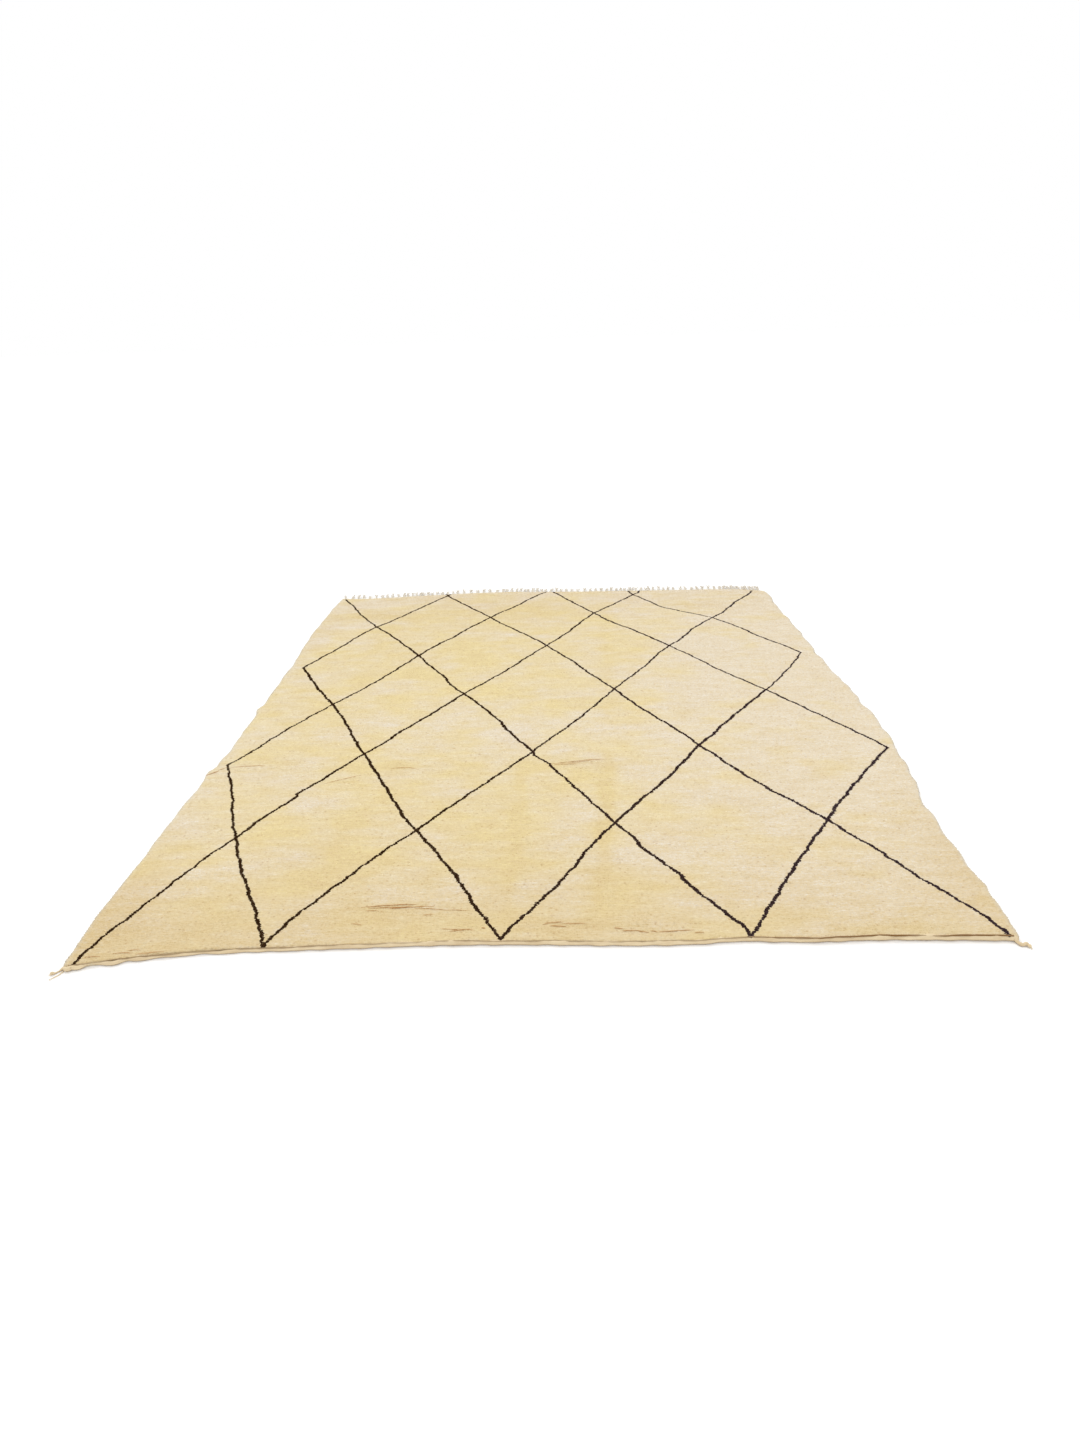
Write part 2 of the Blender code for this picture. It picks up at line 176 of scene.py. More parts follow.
# Broad stains of the undyed wool: middle, reach, golden tint, darkening.
ZONES = named_rows("x y reach_x reach_y gold dark", 4, (
    # the whole: darker towards both ends, paler towards the right
    (0, -2000, 3000, 700, 0.04, 0.42), (0, 1850, 3000, 500, -0.16, 0.2), (1150, 300, 500, 1500, -0.7, 0.01),
    (1200, -1400, 500, 600, -0.46, 0.05), (600, -300, 400, 800, -0.14, 0),
    # golden
    (-950, 800, 240, 480, 0.26, 0.07), (-420, 750, 260, 500, 0.3, 0.04), (-210, 1380, 380, 200, 0.28, 0.18),
    (-1100, -100, 220, 500, 0.2, 0.06), (-300, 150, 550, 450, 0.16, -0.02),
    (-350, -900, 700, 350, 0.18, 0.02), (-700, -1400, 350, 350, 0.2, 0.04), (220, 950, 280, 450, 0.2, 0.03),
    (-550, 1100, 380, 100, 0.12, 0.1),
    # pale patches
    (-1050, 1640, 340, 120, -0.4, -0.02), (950, 1640, 380, 150, -0.35, -0.05),
    (220, 1600, 220, 140, -0.22, -0.05), (-130, -380, 140, 100, -0.4, -0.06),
    (-440, -270, 180, 70, -0.3, -0.05), (130, -220, 120, 90, -0.3, -0.05),
    (460, -520, 160, 140, -0.3, -0.05), (-1220, -340, 120, 140, -0.32, -0.08),
    (-1080, -1400, 140, 100, -0.38, -0.1), (-980, -1620, 160, 80, -0.2, -0.05),
    (-1180, 1160, 100, 45, -0.34, -0.15), (-1070, 1550, 140, 35, -0.28, -0.12),
    (-1290, 910, 70, 40, -0.3, -0.14), (460, -1420, 280, 90, -0.34, -0.1),
    (1020, -1560, 160, 140, -0.3, -0.06), (-780, -980, 160, 100, -0.24, -0.05),
    (-1330, 900, 90, 450, -0.45, 0.04),
    # brown stains
    (-1030, 1340, 270, 100, 0.12, 0.28), (-1300, 1080, 70, 180, 0.1, 0.2),
    (-1300, 1330, 70, 40, 0.15, 0.28), (-1300, 780, 60, 50, 0.15, 0.26), (-1000, 1690, 60, 20, 0.2, 0.26),
    (-630, 1450, 160, 250, 0.12, 0.06), (-620, -1790, 160, 60, 0.12, 0.1), (920, 1430, 160, 60, 0.25, 0.24),
    (480, 1580, 70, 80, 0.1, 0.16), (-700, 1680, 100, 50, 0.1, 0.16), (-1150, -1760, 300, 160, -0.1, 0.22),
    (-400, -1680, 260, 60, 0.1, 0.16), (100, -1750, 180, 50, 0.15, 0.24), (300, -1450, 200, 50, 0.15, 0.12),
    (1050, -1760, 220, 60, 0.05, 0.12), (150, -690, 240, 50, 0.15, 0.16), (-550, -700, 200, 40, 0.12, 0.12),
    # duller wool along the near selvedges
    (-1340, -1720, 120, 340, -0.3, 0.3), (1360, -1550, 120, 500, -0.3, 0.22),
))
PLAIN_GOLD, PLAIN_DARK = 0.5, 0.12  # of the wool between them

# ---- the lattice as charted ----
# Crossings in rows from the near end to the far one.
CROSSINGS = (
    ((-1333, -1912), (-803, -1840), (-118, -1820), (600, -1818), (1326, -1830)),
    ((-1086, -1217), (-453, -1185), (247, -1153), (989, -1159)),
    ((-1310, -639), (-762, -557), (-60, -567), (624, -534), (1377, -589)),
    ((-1018, -16), (-409, 85), (308, 104), (1017, 56)),
    ((-1288, 492), (-705, 639), (-24, 754), (633, 708), (1297, 556)),
    ((-1025, 1146), (-365, 1280), (250, 1322), (933, 1183)),
    ((-1332, 1730), (-655, 1805), (-6, 1815), (470, 1800), (1259, 1715)),
)
# Lines that bend, or end apart from their neighbour at the far rim: row, from, to: the points.
BENDS = {
    (5, 3, 3): ((933, 1183), (800, 1300), (676, 1404), (610, 1508), (505, 1690), (470, 1800)),
    (5, 2, 3): ((250, 1322), (420, 1577), (538, 1731), (566, 1800)),
    (5, 1, 1): ((-365, 1280), (-565, 1596), (-660, 1740), (-698, 1805)),
    (5, 1, 2): ((-365, 1280), (-190, 1560), (-34, 1815)),
}
# How thick a line is, and how it strays from straight between its crossings: row, from, to: weight,
# then along and aside of each place.
COURSES = {
    (0, 0, 0): (0.64, (-1800, -18), (-1700, -17), (-1450, -17), (-1300, -13)),
    (0, 1, 0): (0.82, (-1680, 4), (-1400, -9)),
    (0, 1, 1): (0.9, (-1825, -10), (-1790, -18), (-1700, -30), (-1450, -27), (-1300, -19)),
    (0, 2, 1): (0.97, (-1800, 6), (-1660, 4), (-1470, 15), (-1280, 7)),
    (0, 2, 2): (0.87, (-1800, -6), (-1750, -7), (-1580, 6), (-1450, 6), (-1300, -6)),
    (0, 3, 2): (1.12, (-1770, 18), (-1600, 6), (-1460, 8), (-1330, -6), (-1250, 3)),
    (0, 3, 3): (0.98, (-1450, -8)),
    (0, 4, 3): (0.88, (-1800, 14), (-1680, 21), (-1520, 8), (-1360, 11), (-1280, 3)),
    (1, 0, 0): (0.66, (-1100, -5), (-880, 5)),
    (1, 0, 1): (1.05, (-1050, -15), (-970, -8), (-910, -18), (-800, -12), (-650, -6)),
    (1, 1, 1): (1.03, (-1120, -11), (-800, -5)), (1, 1, 2): (0.97, (-1090, -6)),
    (1, 2, 2): (0.92, (-830, 5), (-650, 3), (-606, -9)),
    (1, 2, 3): (1.22, (-960, 6), (-850, 16), (-700, 12)),
    (1, 3, 3): (1.18, (-1050, -5), (-920, -18), (-720, -13), (-620, -1)),
    (1, 3, 4): (1.14, (-1080, -8), (-900, -10), (-720, -7)),
    (2, 0, 0): (0.7, (-550, 8), (-400, -3), (-250, -8)), (2, 1, 0): (1.05, (-480, -5), (-220, 6)),
    (2, 1, 1): (1.18, (-460, 9), (-360, 0), (-140, 5)), (2, 2, 1): (1.12, (-340, 1), (-260, 13), (-60, 11)),
    (2, 2, 2): (0.8, (-520, -4), (-280, 13), (-80, 9)), (2, 3, 2): (1.08, (-420, 8), (-100, -8)),
    (2, 3, 3): (1.3, (-440, 5), (-330, -3)), (2, 4, 3): (0.92, (-480, 8)), (3, 0, 0): (1.26, (200, -9)),
    (3, 0, 1): (0.92, (160, 15), (350, 16), (500, 8)), (3, 1, 1): (0.96, (200, -14), (300, 1), (500, -5)),
    (3, 1, 2): (0.92, (260, 12), (440, 12), (580, 2)), (3, 2, 2): (0.92, (380, 0), (470, 10), (570, 5)),
    (3, 2, 3): (0.74, (430, 9), (570, -3)), (3, 3, 3): (0.69, (240, -10), (340, -15), (480, -4)),
    (3, 3, 4): (0.52, (100, 9), (330, 13), (450, 10)), (4, 0, 0): (0.97, (800, 2), (900, -1), (980, -9)),
    (4, 1, 0): (1.08, (740, 5), (1020, 10)), (4, 1, 1): (1.16, (800, -9), (940, 1), (1060, -8)),
    (4, 2, 1): (1.06, (830, 6), (1020, 1), (1200, -8)), (4, 2, 2): (0.92, (900, 10), (1000, 11), (1120, 3)),
    (4, 3, 2): (1.22, (1000, 2), (1140, -16)), (4, 3, 3): (0.98, (780, 8), (870, 2), (1000, -14)),
    (4, 4, 3): (0.85, (650, 6), (840, -3), (980, 12)), (5, 0, 0): (0.78, (1420, -11), (1560, 2)),
    (5, 0, 1): (1.05, (1240, 12), (1500, 6)), (5, 1, 1): (1.03, (1640, -8)),
    (5, 1, 2): (1.03, (1380, -6), (1470, 5), (1680, -8)), (5, 2, 2): (0.98, (1480, -5)),
    (5, 2, 3): (1.06, (1560, 13), (1660, 4)), (5, 3, 3): (0.9, (1400, -6), (1520, 2), (1700, 4)),
    (5, 3, 4): (1, (1270, 15), (1440, 4), (1520, 0), (1620, 12)),
}
# Places where a line steps sideways, or is thick: across, along, step, thicker.
JOGS = named_rows("x y step thick", 3, (
    (-945, -912, -10.5, -0.15), (-287, -1464, -3, 0.4), (446, -1500, 7.5, 0.1), (1105, -1390, 4.5, 0),
    (-700, -1745, 3, -0.3), (560, -1740, 0, 0.3), (1318, -1815, 0, 0.6), (-803, -1832, 0, -0.2),
    (-118, -1812, 0, -0.4), (600, -1815, 0, -0.4), (-705, 639, 0, 0.9),
))
JOG_REACH = (0.03, 0.02)  # a jog belongs to a line this near to it, and this far past the line's ends
JOG_SPREAD, JOG_RUN, THICK_SPREAD = 0.035, 0.009, 0.016
LINE_WIDTH = 0.0098
LINE_STEP = 0.0042  # rows of dark knots along a line
LINE_SHARES = (-0.72, -0.24, 0.24, 0.72)  # their places across it, as shares of its half width
LINE_CALM = 0.05  # run over which a line steadies towards its crossings
LINE_MARGIN, LINE_PAST = 0.0011, 0.004  # pale tufts keep this far from a line, and from its ends
WOBBLES = in_metres(2, ((131, 2, 2), (59, 1.4, 1), (31, 0.8, 3)))  # length, size, turns of phase
SWELLS = in_metres(1, ((190, 0.14, 1.7), (57, 0.12, 1)))  # length, share of its width, turns of phase
DARK_REACH = 0.005
DARK_DEPTH = 0.0028
DARK_DROP = 0.006
DARK_PAST = 0.002  # the dark knots go on this far past a line's ends
DARK_INSETS = (0.002, 0.0005, 0.003)  # but keep this far from the selvedges, the near and the far end
DARK_RAGGED = 0.0011  # how far a whole row of them sits aside
DARK_STRAY_ACROSS, DARK_STRAY_ALONG = 0.0006, 0.0008

# ---- the near end ----
# The pile laps over the heading cord, whose yarn is thinner to the left, and a dark brown yarn lies in
# the groove between them as its painted shade. Across, the cord's radius, its sway along, how bold that
# painted shade is.
HEADING = in_metres(3, (
    (-1400, 7.5, 0, 0.6), (-1340, 7, 3, 0.6), (-1317, 6.8, -3, 0.4), (-1300, 6.4, 6, 0.35),
    (-1262, 6, 2, 0.3), (-1223, 6, -7, 0.55), (-1193, 5.7, 4, 0.6), (-1163, 5.6, -3, 0.5),
    (-1120, 5.4, 2, 0.55), (-1050, 5.2, 0, 0.4), (-985, 5.1, 2, 0.45), (-915, 5.1, -3, 0.3),
    (-860, 5.4, 1, 0.4), (-800, 5.6, 0, 0.5), (-700, 6.4, 0, 0.55), (-600, 6.8, 1, 0.35),
    (-520, 7, 0, 0.25), (-440, 7.2, 1, 0.3), (-350, 7.3, 0, 0.12), (-250, 7.4, 0, 0.3),
    (-120, 7.2, 1, 0.35), (50, 7, 0, 0.35), (150, 6.9, -1, 0.2), (230, 6.8, -1, 0.25), (320, 6.8, -1, 0.3),
    (455, 7, 0, 0.3), (550, 7.2, 1, 0.35), (640, 7.2, 1, 0.65), (700, 7.2, 1, 0.75), (800, 7.4, 0, 0.85),
    (900, 7.7, 1, 0.9), (1025, 7.8, 1, 1), (1075, 8.2, 0, 0.6), (1105, 8.4, 0, 0.08), (1140, 8.1, 0, 0.75),
    (1200, 8.2, 0, 1), (1300, 8.4, 0, 1), (1360, 8.5, 0, 0.75),
))
LAP = 0.0092
CORNER, CORNER_LAP, CORNER_REACH = -1.37, 0.7, 0.05  # at the left corner the pile laps less
CORD_COVER = 0.0012  # the pile's near edge ends this far over the cord
CORD_FRONT = 0.0139  # from the solid's rim to the front of the cord, as the camera sees it
CORD_STEP = 0.0022
CORD_BODY = (-1.34, 1.33)  # between the tails
GROOVE_SHADE_RADIUS = 0.002
GROOVE_SHADE_OUT, GROOVE_SHADE_WAVE = 0.0018, 0.0022  # how far the yarn of painted groove shade lies out, and how far it wanders

# ---- the tufts ----
BASE_CELLS = (150, 200)  # cells across and along of the sheet under the tufts
BASE_SINK = 0.0022  # how far the sheet's top lies under the tufts' tips
BASE_PART_SINK = 0.0012  # and how much deeper in a parting
KNOT_ACROSS, KNOT_ALONG = 0.007, 0.009
STRAY_ACROSS, STRAY_ALONG = 0.22, 0.24  # how far tufts stray, as shares of a knot's place
PILE_STRIPS = 4
RIM_INSET = 0.0045  # from the rims to the nearest tufts' middles
TUFT_POINTS = 5  # four corners and the tip
TUFT_REACH = 0.0078  # half diagonal of a tuft
TUFT_DEPTH = 0.0034
TUFT_UNEVEN = 0.00034
SIDE_DROP, FAR_DROP = 0.0085, 0.007  # how far the tips fall at the rims
LEAN_SIDE, LEAN_FAR, LEAN_REACH = 0.002, 0.0035, 0.012  # how far they lean out, near the rims
NEAR_SHARE, NEAR_RUN = 0.8, 0.009  # they fall by this share of near_drop, over this run
PART_SINK = 0.0016  # and by this much in a parting
RUN = 9  # knots tied with one yarn before the next
SPECK, SPECK_SHARE = 0.3, 0.025  # brown specks: how brown, and how many tufts have one
GROOVE_SHADE, GROOVE_SHADE_REACH = 0.65, 0.0065  # painted shade on the tufts in the groove beside the cord
SIDE_SHADE_SHARE, SIDE_SHADE_REACH = 0.7, 0.009  # painted shade of the tufts along the selvedges, grey and cool
# The longer locks of the rims, in rows: outward, height, reach.
LOCKS = in_metres(3, ((-2, 11.5, 3.5), (-1.2, 8.5, 4), (-1, 5.5, 3.6)))
LOCK_PITCH = 0.0052
LOCK_HALF = 0.0021  # half width and height of a lock's root
LOCK_ROOT = 0.0035  # how far in from the rim it lies
LOCK_OUT = 0.55  # share of a lock's length that stands out
LOCK_DROOP, LOCK_SAG = 0.0016, 0.25  # how far its tip hangs, and the share of its length on top
LOCK_LOWEST = 0.0012  # of the tips, over the floor


# ---- curves and shapes of the outline and relief ----
def bell(t):
    """1 in the middle, falling softly to nothing on both sides."""
    return np.exp(-t ** 2)


def ripple(at, length, phase=0):
    """A sine wave, given by its length."""
    return np.sin(2 * np.pi * at / length + phase)


def fade(distance, reach):
    """1 at a rim, falling evenly to 0 at a distance from it."""
    return 1 - np.clip(distance / reach, 0, 1)


def smooth_step(t):
    t = np.clip(t, 0, 1)
    return t * t * (3 - 2 * t)


def between_ends(t, taper):
    """1 along a stroke, falling to 0 at both its ends."""
    return smooth_step(t / taper) * smooth_step((1 - t) / taper)


def read_table(table, column, at):
    """Smooth values of one column of a table at places between its rows, as in part.py."""
    keys, values = table[:, 0], table[:, column]
    at = np.clip(at, keys[0], keys[-1])
    i = np.clip(np.searchsorted(keys, at, side="left") - 1, 0, len(keys) - 2)
    step = keys[i + 1] - keys[i]
    t = (at - keys[i]) / step
    before, after = np.maximum(i - 1, 0), np.minimum(i + 2, len(keys) - 1)
    slope_in = (values[i + 1] - values[before]) / (keys[i + 1] - keys[before])
    slope_out = (values[after] - values[i]) / (keys[after] - keys[i])
    t2, t3 = t * t, t * t * t
    return ((2 * t3 - 3 * t2 + 1) * values[i] + (t3 - 2 * t2 + t) * step * slope_in
            + (3 * t2 - 2 * t3) * values[i + 1] + (t3 - t2) * step * slope_out)


def scallop(along, wave):
    return wave.size * (ripple(along, SCALLOP_PITCH, wave.phase)
                        + SECOND_SCALLOP * ripple(along, SCALLOP_PITCH / SECOND_PITCH, 2 * wave.phase))


def bumps(along, rows):
    return sum(out * bell((along - at) / reach) for at, out, reach in rows)


def left_edge(along):
    return read_table(SIDES, 1, along) + LEFT_IN + scallop(along, LEFT_SCALLOP) - bumps(along, LEFT_BUMPS)


def right_edge(along):
    return read_table(SIDES, 2, along) - RIGHT_IN + scallop(along, RIGHT_SCALLOP) + bumps(along, RIGHT_BUMPS)


def lap(across):
    return LAP * (1 - CORNER_LAP * bell((across - CORNER) / CORNER_REACH))


def near_rim(across):
    return read_table(ENDS, 1, across) - lap(across)


def far_rim(across):
    return read_table(ENDS, 2, across)


def between(first, second, share, at):
    low, high = first(at), second(at)
    return low + share * (high - low)


def carpet_point(u, v):
    """Places on the floor of the shares u across and v along the carpet."""
    u, v = np.broadcast_arrays(np.asarray(u, float), np.asarray(v, float))
    across = between(left_edge, right_edge, u, np.zeros(u.shape))
    for _ in range(EDGE_PASSES):
        along = between(near_rim, far_rim, v, across)
        across = between(left_edge, right_edge, u, along)
    return across, along


ORIGIN = np.zeros(1)
WIDTH = float((right_edge(ORIGIN) - left_edge(ORIGIN))[0])
LENGTH = float((far_rim(ORIGIN) - near_rim(ORIGIN))[0])


def rim_distances(u, v):
    """How far shares of the carpet lie from its nearer selvedge, its near end and its far end."""
    return np.minimum(u, 1 - u) * WIDTH, v * LENGTH, (1 - v) * LENGTH


def stroke_strength(stroke, x, y, bow=0, taper=FOLD_TAPER, wander=FOLD_WANDER):
    """How strongly a stroke shows: 1 along its middle, falling to 0 beside it and past its ends."""
    dx, dy = stroke.x1 - stroke.x0, stroke.y1 - stroke.y0
    size = math.hypot(dx, dy)
    t = ((x - stroke.x0) * dx + (y - stroke.y0) * dy) / size ** 2
    beside = ((y - stroke.y0) * dx - (x - stroke.x0) * dy) / size - bow * 4 * t * (1 - t)
    beside = beside + wander * stroke.width * np.sin(31 * x + 17 * y + 40 * stroke.x0)
    return bell(beside / stroke.width) * between_ends(t, taper)


def fine_lumps(x, y):
    """Low unevenness of the clipped pile."""
    rows = ripple(y, 0.061, 1.7 * np.sin(1.9 * x) + 0.6) * np.sin(7.3 * y + 2.3 * x)
    spots = (np.sin(23 * x + 9 * y) * np.sin(17 * y - 11 * x + 0.7)
             + np.sin(41 * x - 29 * y + 1.1) * np.sin(37 * y + 8 * x))
    return 0.00022 * rows + 0.00026 * spots


def pile_top(x, y):
    top = np.full(x.shape, THICKNESS)
    for wave in WAVES:
        top += LUMP * wave.share * np.sin(wave.across * x + wave.along * y + wave.phase)
    for fold in FOLDS:
        top += fold.rise * stroke_strength(fold, x, y)
    return top + fine_lumps(x, y)


def wrinkle_strength(x, y):
    strength = np.zeros(x.shape)
    for wrinkle in WRINKLES:
        shown = stroke_strength(wrinkle, x, y, wrinkle.bow, WRINKLE_TAPER, 0)
        strength = np.maximum(strength, wrinkle.strength * shown)
    return WRINKLE_BROWN_AND_SHADE * strength


def cord_size(x):
    return read_table(HEADING, 1, x)


def groove_shade_boldness(x):
    return np.clip(read_table(HEADING, 3, x), 0, 1)


def near_drop(x):
    """How far the pile's near edge falls, so that it ends just over the cord."""
    return THICKNESS - 2 * cord_size(x) - CORD_COVER


def shoulder(inset, drop=SHOULDER_DROP, run=SHOULDER_RUN):
    """Drop of the pile's top at a distance in from a rim, on a quarter of an ellipse."""
    return drop * (1 - np.sqrt(1 - fade(inset, run) ** 2))


def near_shoulder(x, near):
    return shoulder(near, NEAR_SHARE * near_drop(x), NEAR_RUN)


def stains_and_fold_shade(x, y, **others):
    """How golden and how dark the wool is, from the stained zones listed and from the folds, whose darkening
    is painted shade.
    """
    gold, dark = np.full(x.shape, PLAIN_GOLD), np.full(x.shape, PLAIN_DARK)
    for zone in ZONES:
        shown = bell((x - zone.x) / zone.reach_x) * bell((y - zone.y) / zone.reach_y)
        gold += zone.gold * shown
        dark += zone.dark * shown
    # the folds: golden, and darker with painted shade
    for fold in FOLDS:
        shown = fold.gold * stroke_strength(fold, x, y)
        gold += shown
        dark += FOLD_SHADE * shown
    return {"gold": np.clip(gold, 0, 1), "dark": np.clip(dark, 0, 1), **others}


# ---- the lattice's lines ----
Line = namedtuple("Line", "points phase weight strays")


def lattice_lines():
    lines = []
    for row, (here, there) in enumerate(zip(CROSSINGS, CROSSINGS[1:])):
        for i, start in enumerate(here):
            ends = (i - 1, i) if len(here) > len(there) else (i, i + 1)
            for j in ends:
                if 0 <= j < len(there):
                    points = np.array(BENDS.get((row, i, j), (start, there[j])))
                    weight, *strays = COURSES[row, i, j]
                    strays = [(points[0, 1], 0), *strays, (points[-1, 1], 0)]
                    lines.append(Line(points / METRE, 2.4 * len(lines) + row, weight, in_metres(2, strays)))
    return lines


def line_band(line, y):
    """Middle and half width of a line at the places along, with the weaver's unevenness."""
    xs, ys = line.points.T
    calm = smooth_step((y - ys[0]) / LINE_CALM) * smooth_step((ys[-1] - y) / LINE_CALM)
    wobble = sum(size * ripple(y, length, turns * line.phase) for length, size, turns in WOBBLES)
    centre = np.interp(y, ys, xs) + read_table(line.strays, 1, y) + calm * wobble
    swell = sum(share * ripple(y, length, turns * line.phase) for length, share, turns in SWELLS)
    half = 0.5 * LINE_WIDTH * line.weight * (1 + swell)
    beside, past = JOG_REACH
    for jog in JOGS:
        if abs(np.interp(jog.y, ys, xs) - jog.x) < beside and ys[0] - past < jog.y < ys[-1] + past:
            off = y - jog.y
            half = half * (1 + jog.thick * bell(off / THICK_SPREAD))
            centre = centre + jog.step * bell(off / JOG_SPREAD) * np.tanh(off / JOG_RUN)
    return centre, half


def in_lattice(x, y, lines):
    inside = np.zeros(x.shape, bool)
    for line in lines:
        near = (y > line.points[0, 1] - LINE_PAST) & (y < line.points[-1, 1] + LINE_PAST)
        centre, half = line_band(line, y[near])
        inside[near] |= np.abs(x[near] - centre) < half + LINE_MARGIN
    return inside


def lattice_knots(lines):
    """Places of the dark knots: a few across, row after row along each line."""
    xs, ys = [], []
    for line in lines:
        y = np.arange(line.points[0, 1] - DARK_PAST, line.points[-1, 1] + DARK_PAST, LINE_STEP)
        centre, half = line_band(line, y)
        ragged = dice.normal(0, DARK_RAGGED, len(y))
        for share in LINE_SHARES:
            xs.append(centre + ragged + share * half + dice.normal(0, DARK_STRAY_ACROSS, len(y)))
            ys.append(y + dice.normal(0, DARK_STRAY_ALONG, len(y)))
    return np.concatenate(xs), np.concatenate(ys)


# ---- meshes ----
def stack(*columns):
    return np.stack(columns, -1)


def add_object(name, data):
    made = bpy.data.objects.new(name, data)
    bpy.context.scene.collection.objects.link(made)
    return made


def mesh_piece(name, places, faces, material, values, flat_map=False):
    """One object from arrays of points and of faces with equal numbers of corners."""
    mesh = bpy.data.meshes.new(name)
    places = np.asarray(places, np.float32)
    mesh.from_pydata(places, [], [face for some in faces for face in some.tolist()])
    for key, array in values.items():
        layer = mesh.attributes.new(key, "FLOAT", "POINT")
        layer.data.foreach_set("value", np.asarray(array, np.float32))
    if flat_map:
        low, high = places[:, :2].min(0), places[:, :2].max(0)
        uv = (places[:, :2] - low) / (high - low) * 0.998 + 0.001
        corners = np.concatenate([some.ravel() for some in faces])
        layer = mesh.uv_layers.new(name="OFBake")
        layer.data.foreach_set("uv", uv[corners].astype(np.float32).ravel())
    mesh.shade_smooth()
    mesh.materials.append(material)
    piece = add_object(name, mesh)
    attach(piece, "root")
    return piece


def to_points(values):
    """A value of each tuft, given to all its points."""
    return np.repeat(values, TUFT_POINTS)


def pyramid_faces(count):
    """The four sides of each of many pyramids, whose points end with the tip."""
    base = TUFT_POINTS * np.arange(count)[:, None]
    return np.stack([base + (c, (c + 1) % 4, 4) for c in range(4)], axis=1).reshape(-1, 3)


def tuft_arrays(x, y, top, reach, depth, lean_x, lean_y, spin):
    """Low four-sided tufts: points, faces, and the share of painted root shade, 1 at the roots and 0 at the
    tips.
    """
    count = len(x)
    places = np.empty((count, TUFT_POINTS, 3))
    for corner in range(4):
        turn = spin + corner * math.pi / 2
        places[:, corner] = stack(x + reach * np.cos(turn), y + reach * np.sin(turn), top - depth)
    places[:, 4] = stack(x + lean_x, y + lean_y, top)
    return places.reshape(-1, 3), pyramid_faces(count), np.tile((1, 1, 1, 1, 0), count)


# ---- materials ----
PALE = (0.835, 0.78, 0.685, 1)
GOLD = (0.85, 0.73, 0.378, 1)
DEEP = (0.62, 0.465, 0.235, 1)
# Brown of the specks and of the wefts in the wrinkles, and painted shade in the wrinkles and in the groove by
# the cord.
PILE_BROWN_AND_SHADE = (0.4, 0.205, 0.07, 1)
# Painted shade at the roots of the tufts and on the sheet between them.
ROOT_SHADE = (0.69, 0.55, 0.32, 1)
# Dark brown: painted shade under the cord and in the groove, and a faint darkening of the fringe's woven end
# and knots.
YARN_BROWN_AND_SHADE = (0.2, 0.095, 0.022, 1)
# Grey painted shade of the carpet's sides.
SIDE_SHADE_GREY = (0.64, 0.61, 0.55, 1)
# The dyed wool, brown to the left and towards violet to the right, and where it is worn.
DYE_LEFT, DYE_RIGHT = (0.027, 0.0115, 0.0035, 1), (0.03, 0.0165, 0.019, 1)
WORN_LEFT, WORN_RIGHT = (0.082, 0.048, 0.024, 1), (0.082, 0.06, 0.07, 1)
WORN_OUT = (0.2, 0.14, 0.1, 1)
HAIRS = (0.1, 0.063, 0.042, 1)
# Lighter and deeper tone of each yarn.
CORD_TONES = (0.775, 0.64, 0.42, 1), (0.58, 0.43, 0.25, 1)
WEFT_TONES = (0.56, 0.31, 0.12, 1), (0.44, 0.22, 0.085, 1)
FRINGE_TONES = (0.76, 0.7, 0.6, 1), (0.54, 0.47, 0.37, 1)
WHITE = (1, 1, 1, 1)
FLOOR = (0.96, 0.96, 0.96, 1)
FLOOR_GLOW = 0.05
EVEN = (1, 1, 1)  # noise that isn't stretched


def new_material(name, roughness, specular=0.12, sheen=0):
    material = bpy.data.materials.new(name)
    material.use_nodes = True
    shader = material.node_tree.nodes["Principled BSDF"]
    shader.inputs["Roughness"].default_value = roughness
    shader.inputs["Specular IOR Level"].default_value = specular
    shader.inputs["Sheen Weight"].default_value = sheen
    shader.inputs["Sheen Roughness"].default_value = 0.5
    return material, material.node_tree, shader


def linked(tree, kind, inputs, **settings):
    """A node with its settings, and its sockets linked or set."""
    made = tree.nodes.new("ShaderNode" + kind)
    for key, value in settings.items():
        setattr(made, key, value)
    for key, value in inputs.items():
        if isinstance(value, bpy.types.NodeSocket):
            tree.links.new(value, made.inputs[key])
        else:
            made.inputs[key].default_value = value
    return made


def layered(tree, colour, *layers):
    """A colour with others mixed over it in turn, each by its share."""
    for share, over in layers:
        colour = linked(tree, "Mix", {0: share, 6: colour, 7: over}, data_type="RGBA").outputs[2]
    return colour


def math_node(tree, operation, first, second, clamp=False):
    inputs = {0: first, 1: second}
    return linked(tree, "Math", inputs, operation=operation, use_clamp=clamp).outputs[0]


def object_place(tree):
    return linked(tree, "TexCoord", {}).outputs["Object"]


def noise(tree, stretch, scale, detail=3, roughness=0.6):
    """Noise on the object's own coordinates, stretched."""
    where = linked(tree, "Mapping", {"Vector": object_place(tree), "Scale": stretch}).outputs[0]
    inputs = {"Vector": where, "Scale": scale, "Detail": detail, "Roughness": roughness}
    return linked(tree, "TexNoise", inputs).outputs["Fac"]


def value_of(tree, name):
    return linked(tree, "Attribute", {}, attribute_name=name).outputs["Fac"]


def spread(tree, value, low, high, out_low=0, out_high=1):
    return linked(tree, "MapRange", {0: value, 1: low, 2: high, 3: out_low, 4: out_high}).outputs[0]


def shaken(tree, name, *noises):
    """A value of the mesh with noises added, 0 to 1: each noise, its ends, and what they add."""
    value = value_of(tree, name)
    for number, (source, *ends) in enumerate(noises, start=1):
        value = math_node(tree, "ADD", value, spread(tree, source, *ends), clamp=number == len(noises))
    return value


def dress(tree, shader, colour, relief, strength, distance):
    """Gives a shader its colour and its fine relief."""
    made = linked(tree, "Bump", {"Height": relief, "Strength": strength, "Distance": distance})
    tree.links.new(colour, shader.inputs["Base Color"])
    tree.links.new(made.outputs[0], shader.inputs["Normal"])


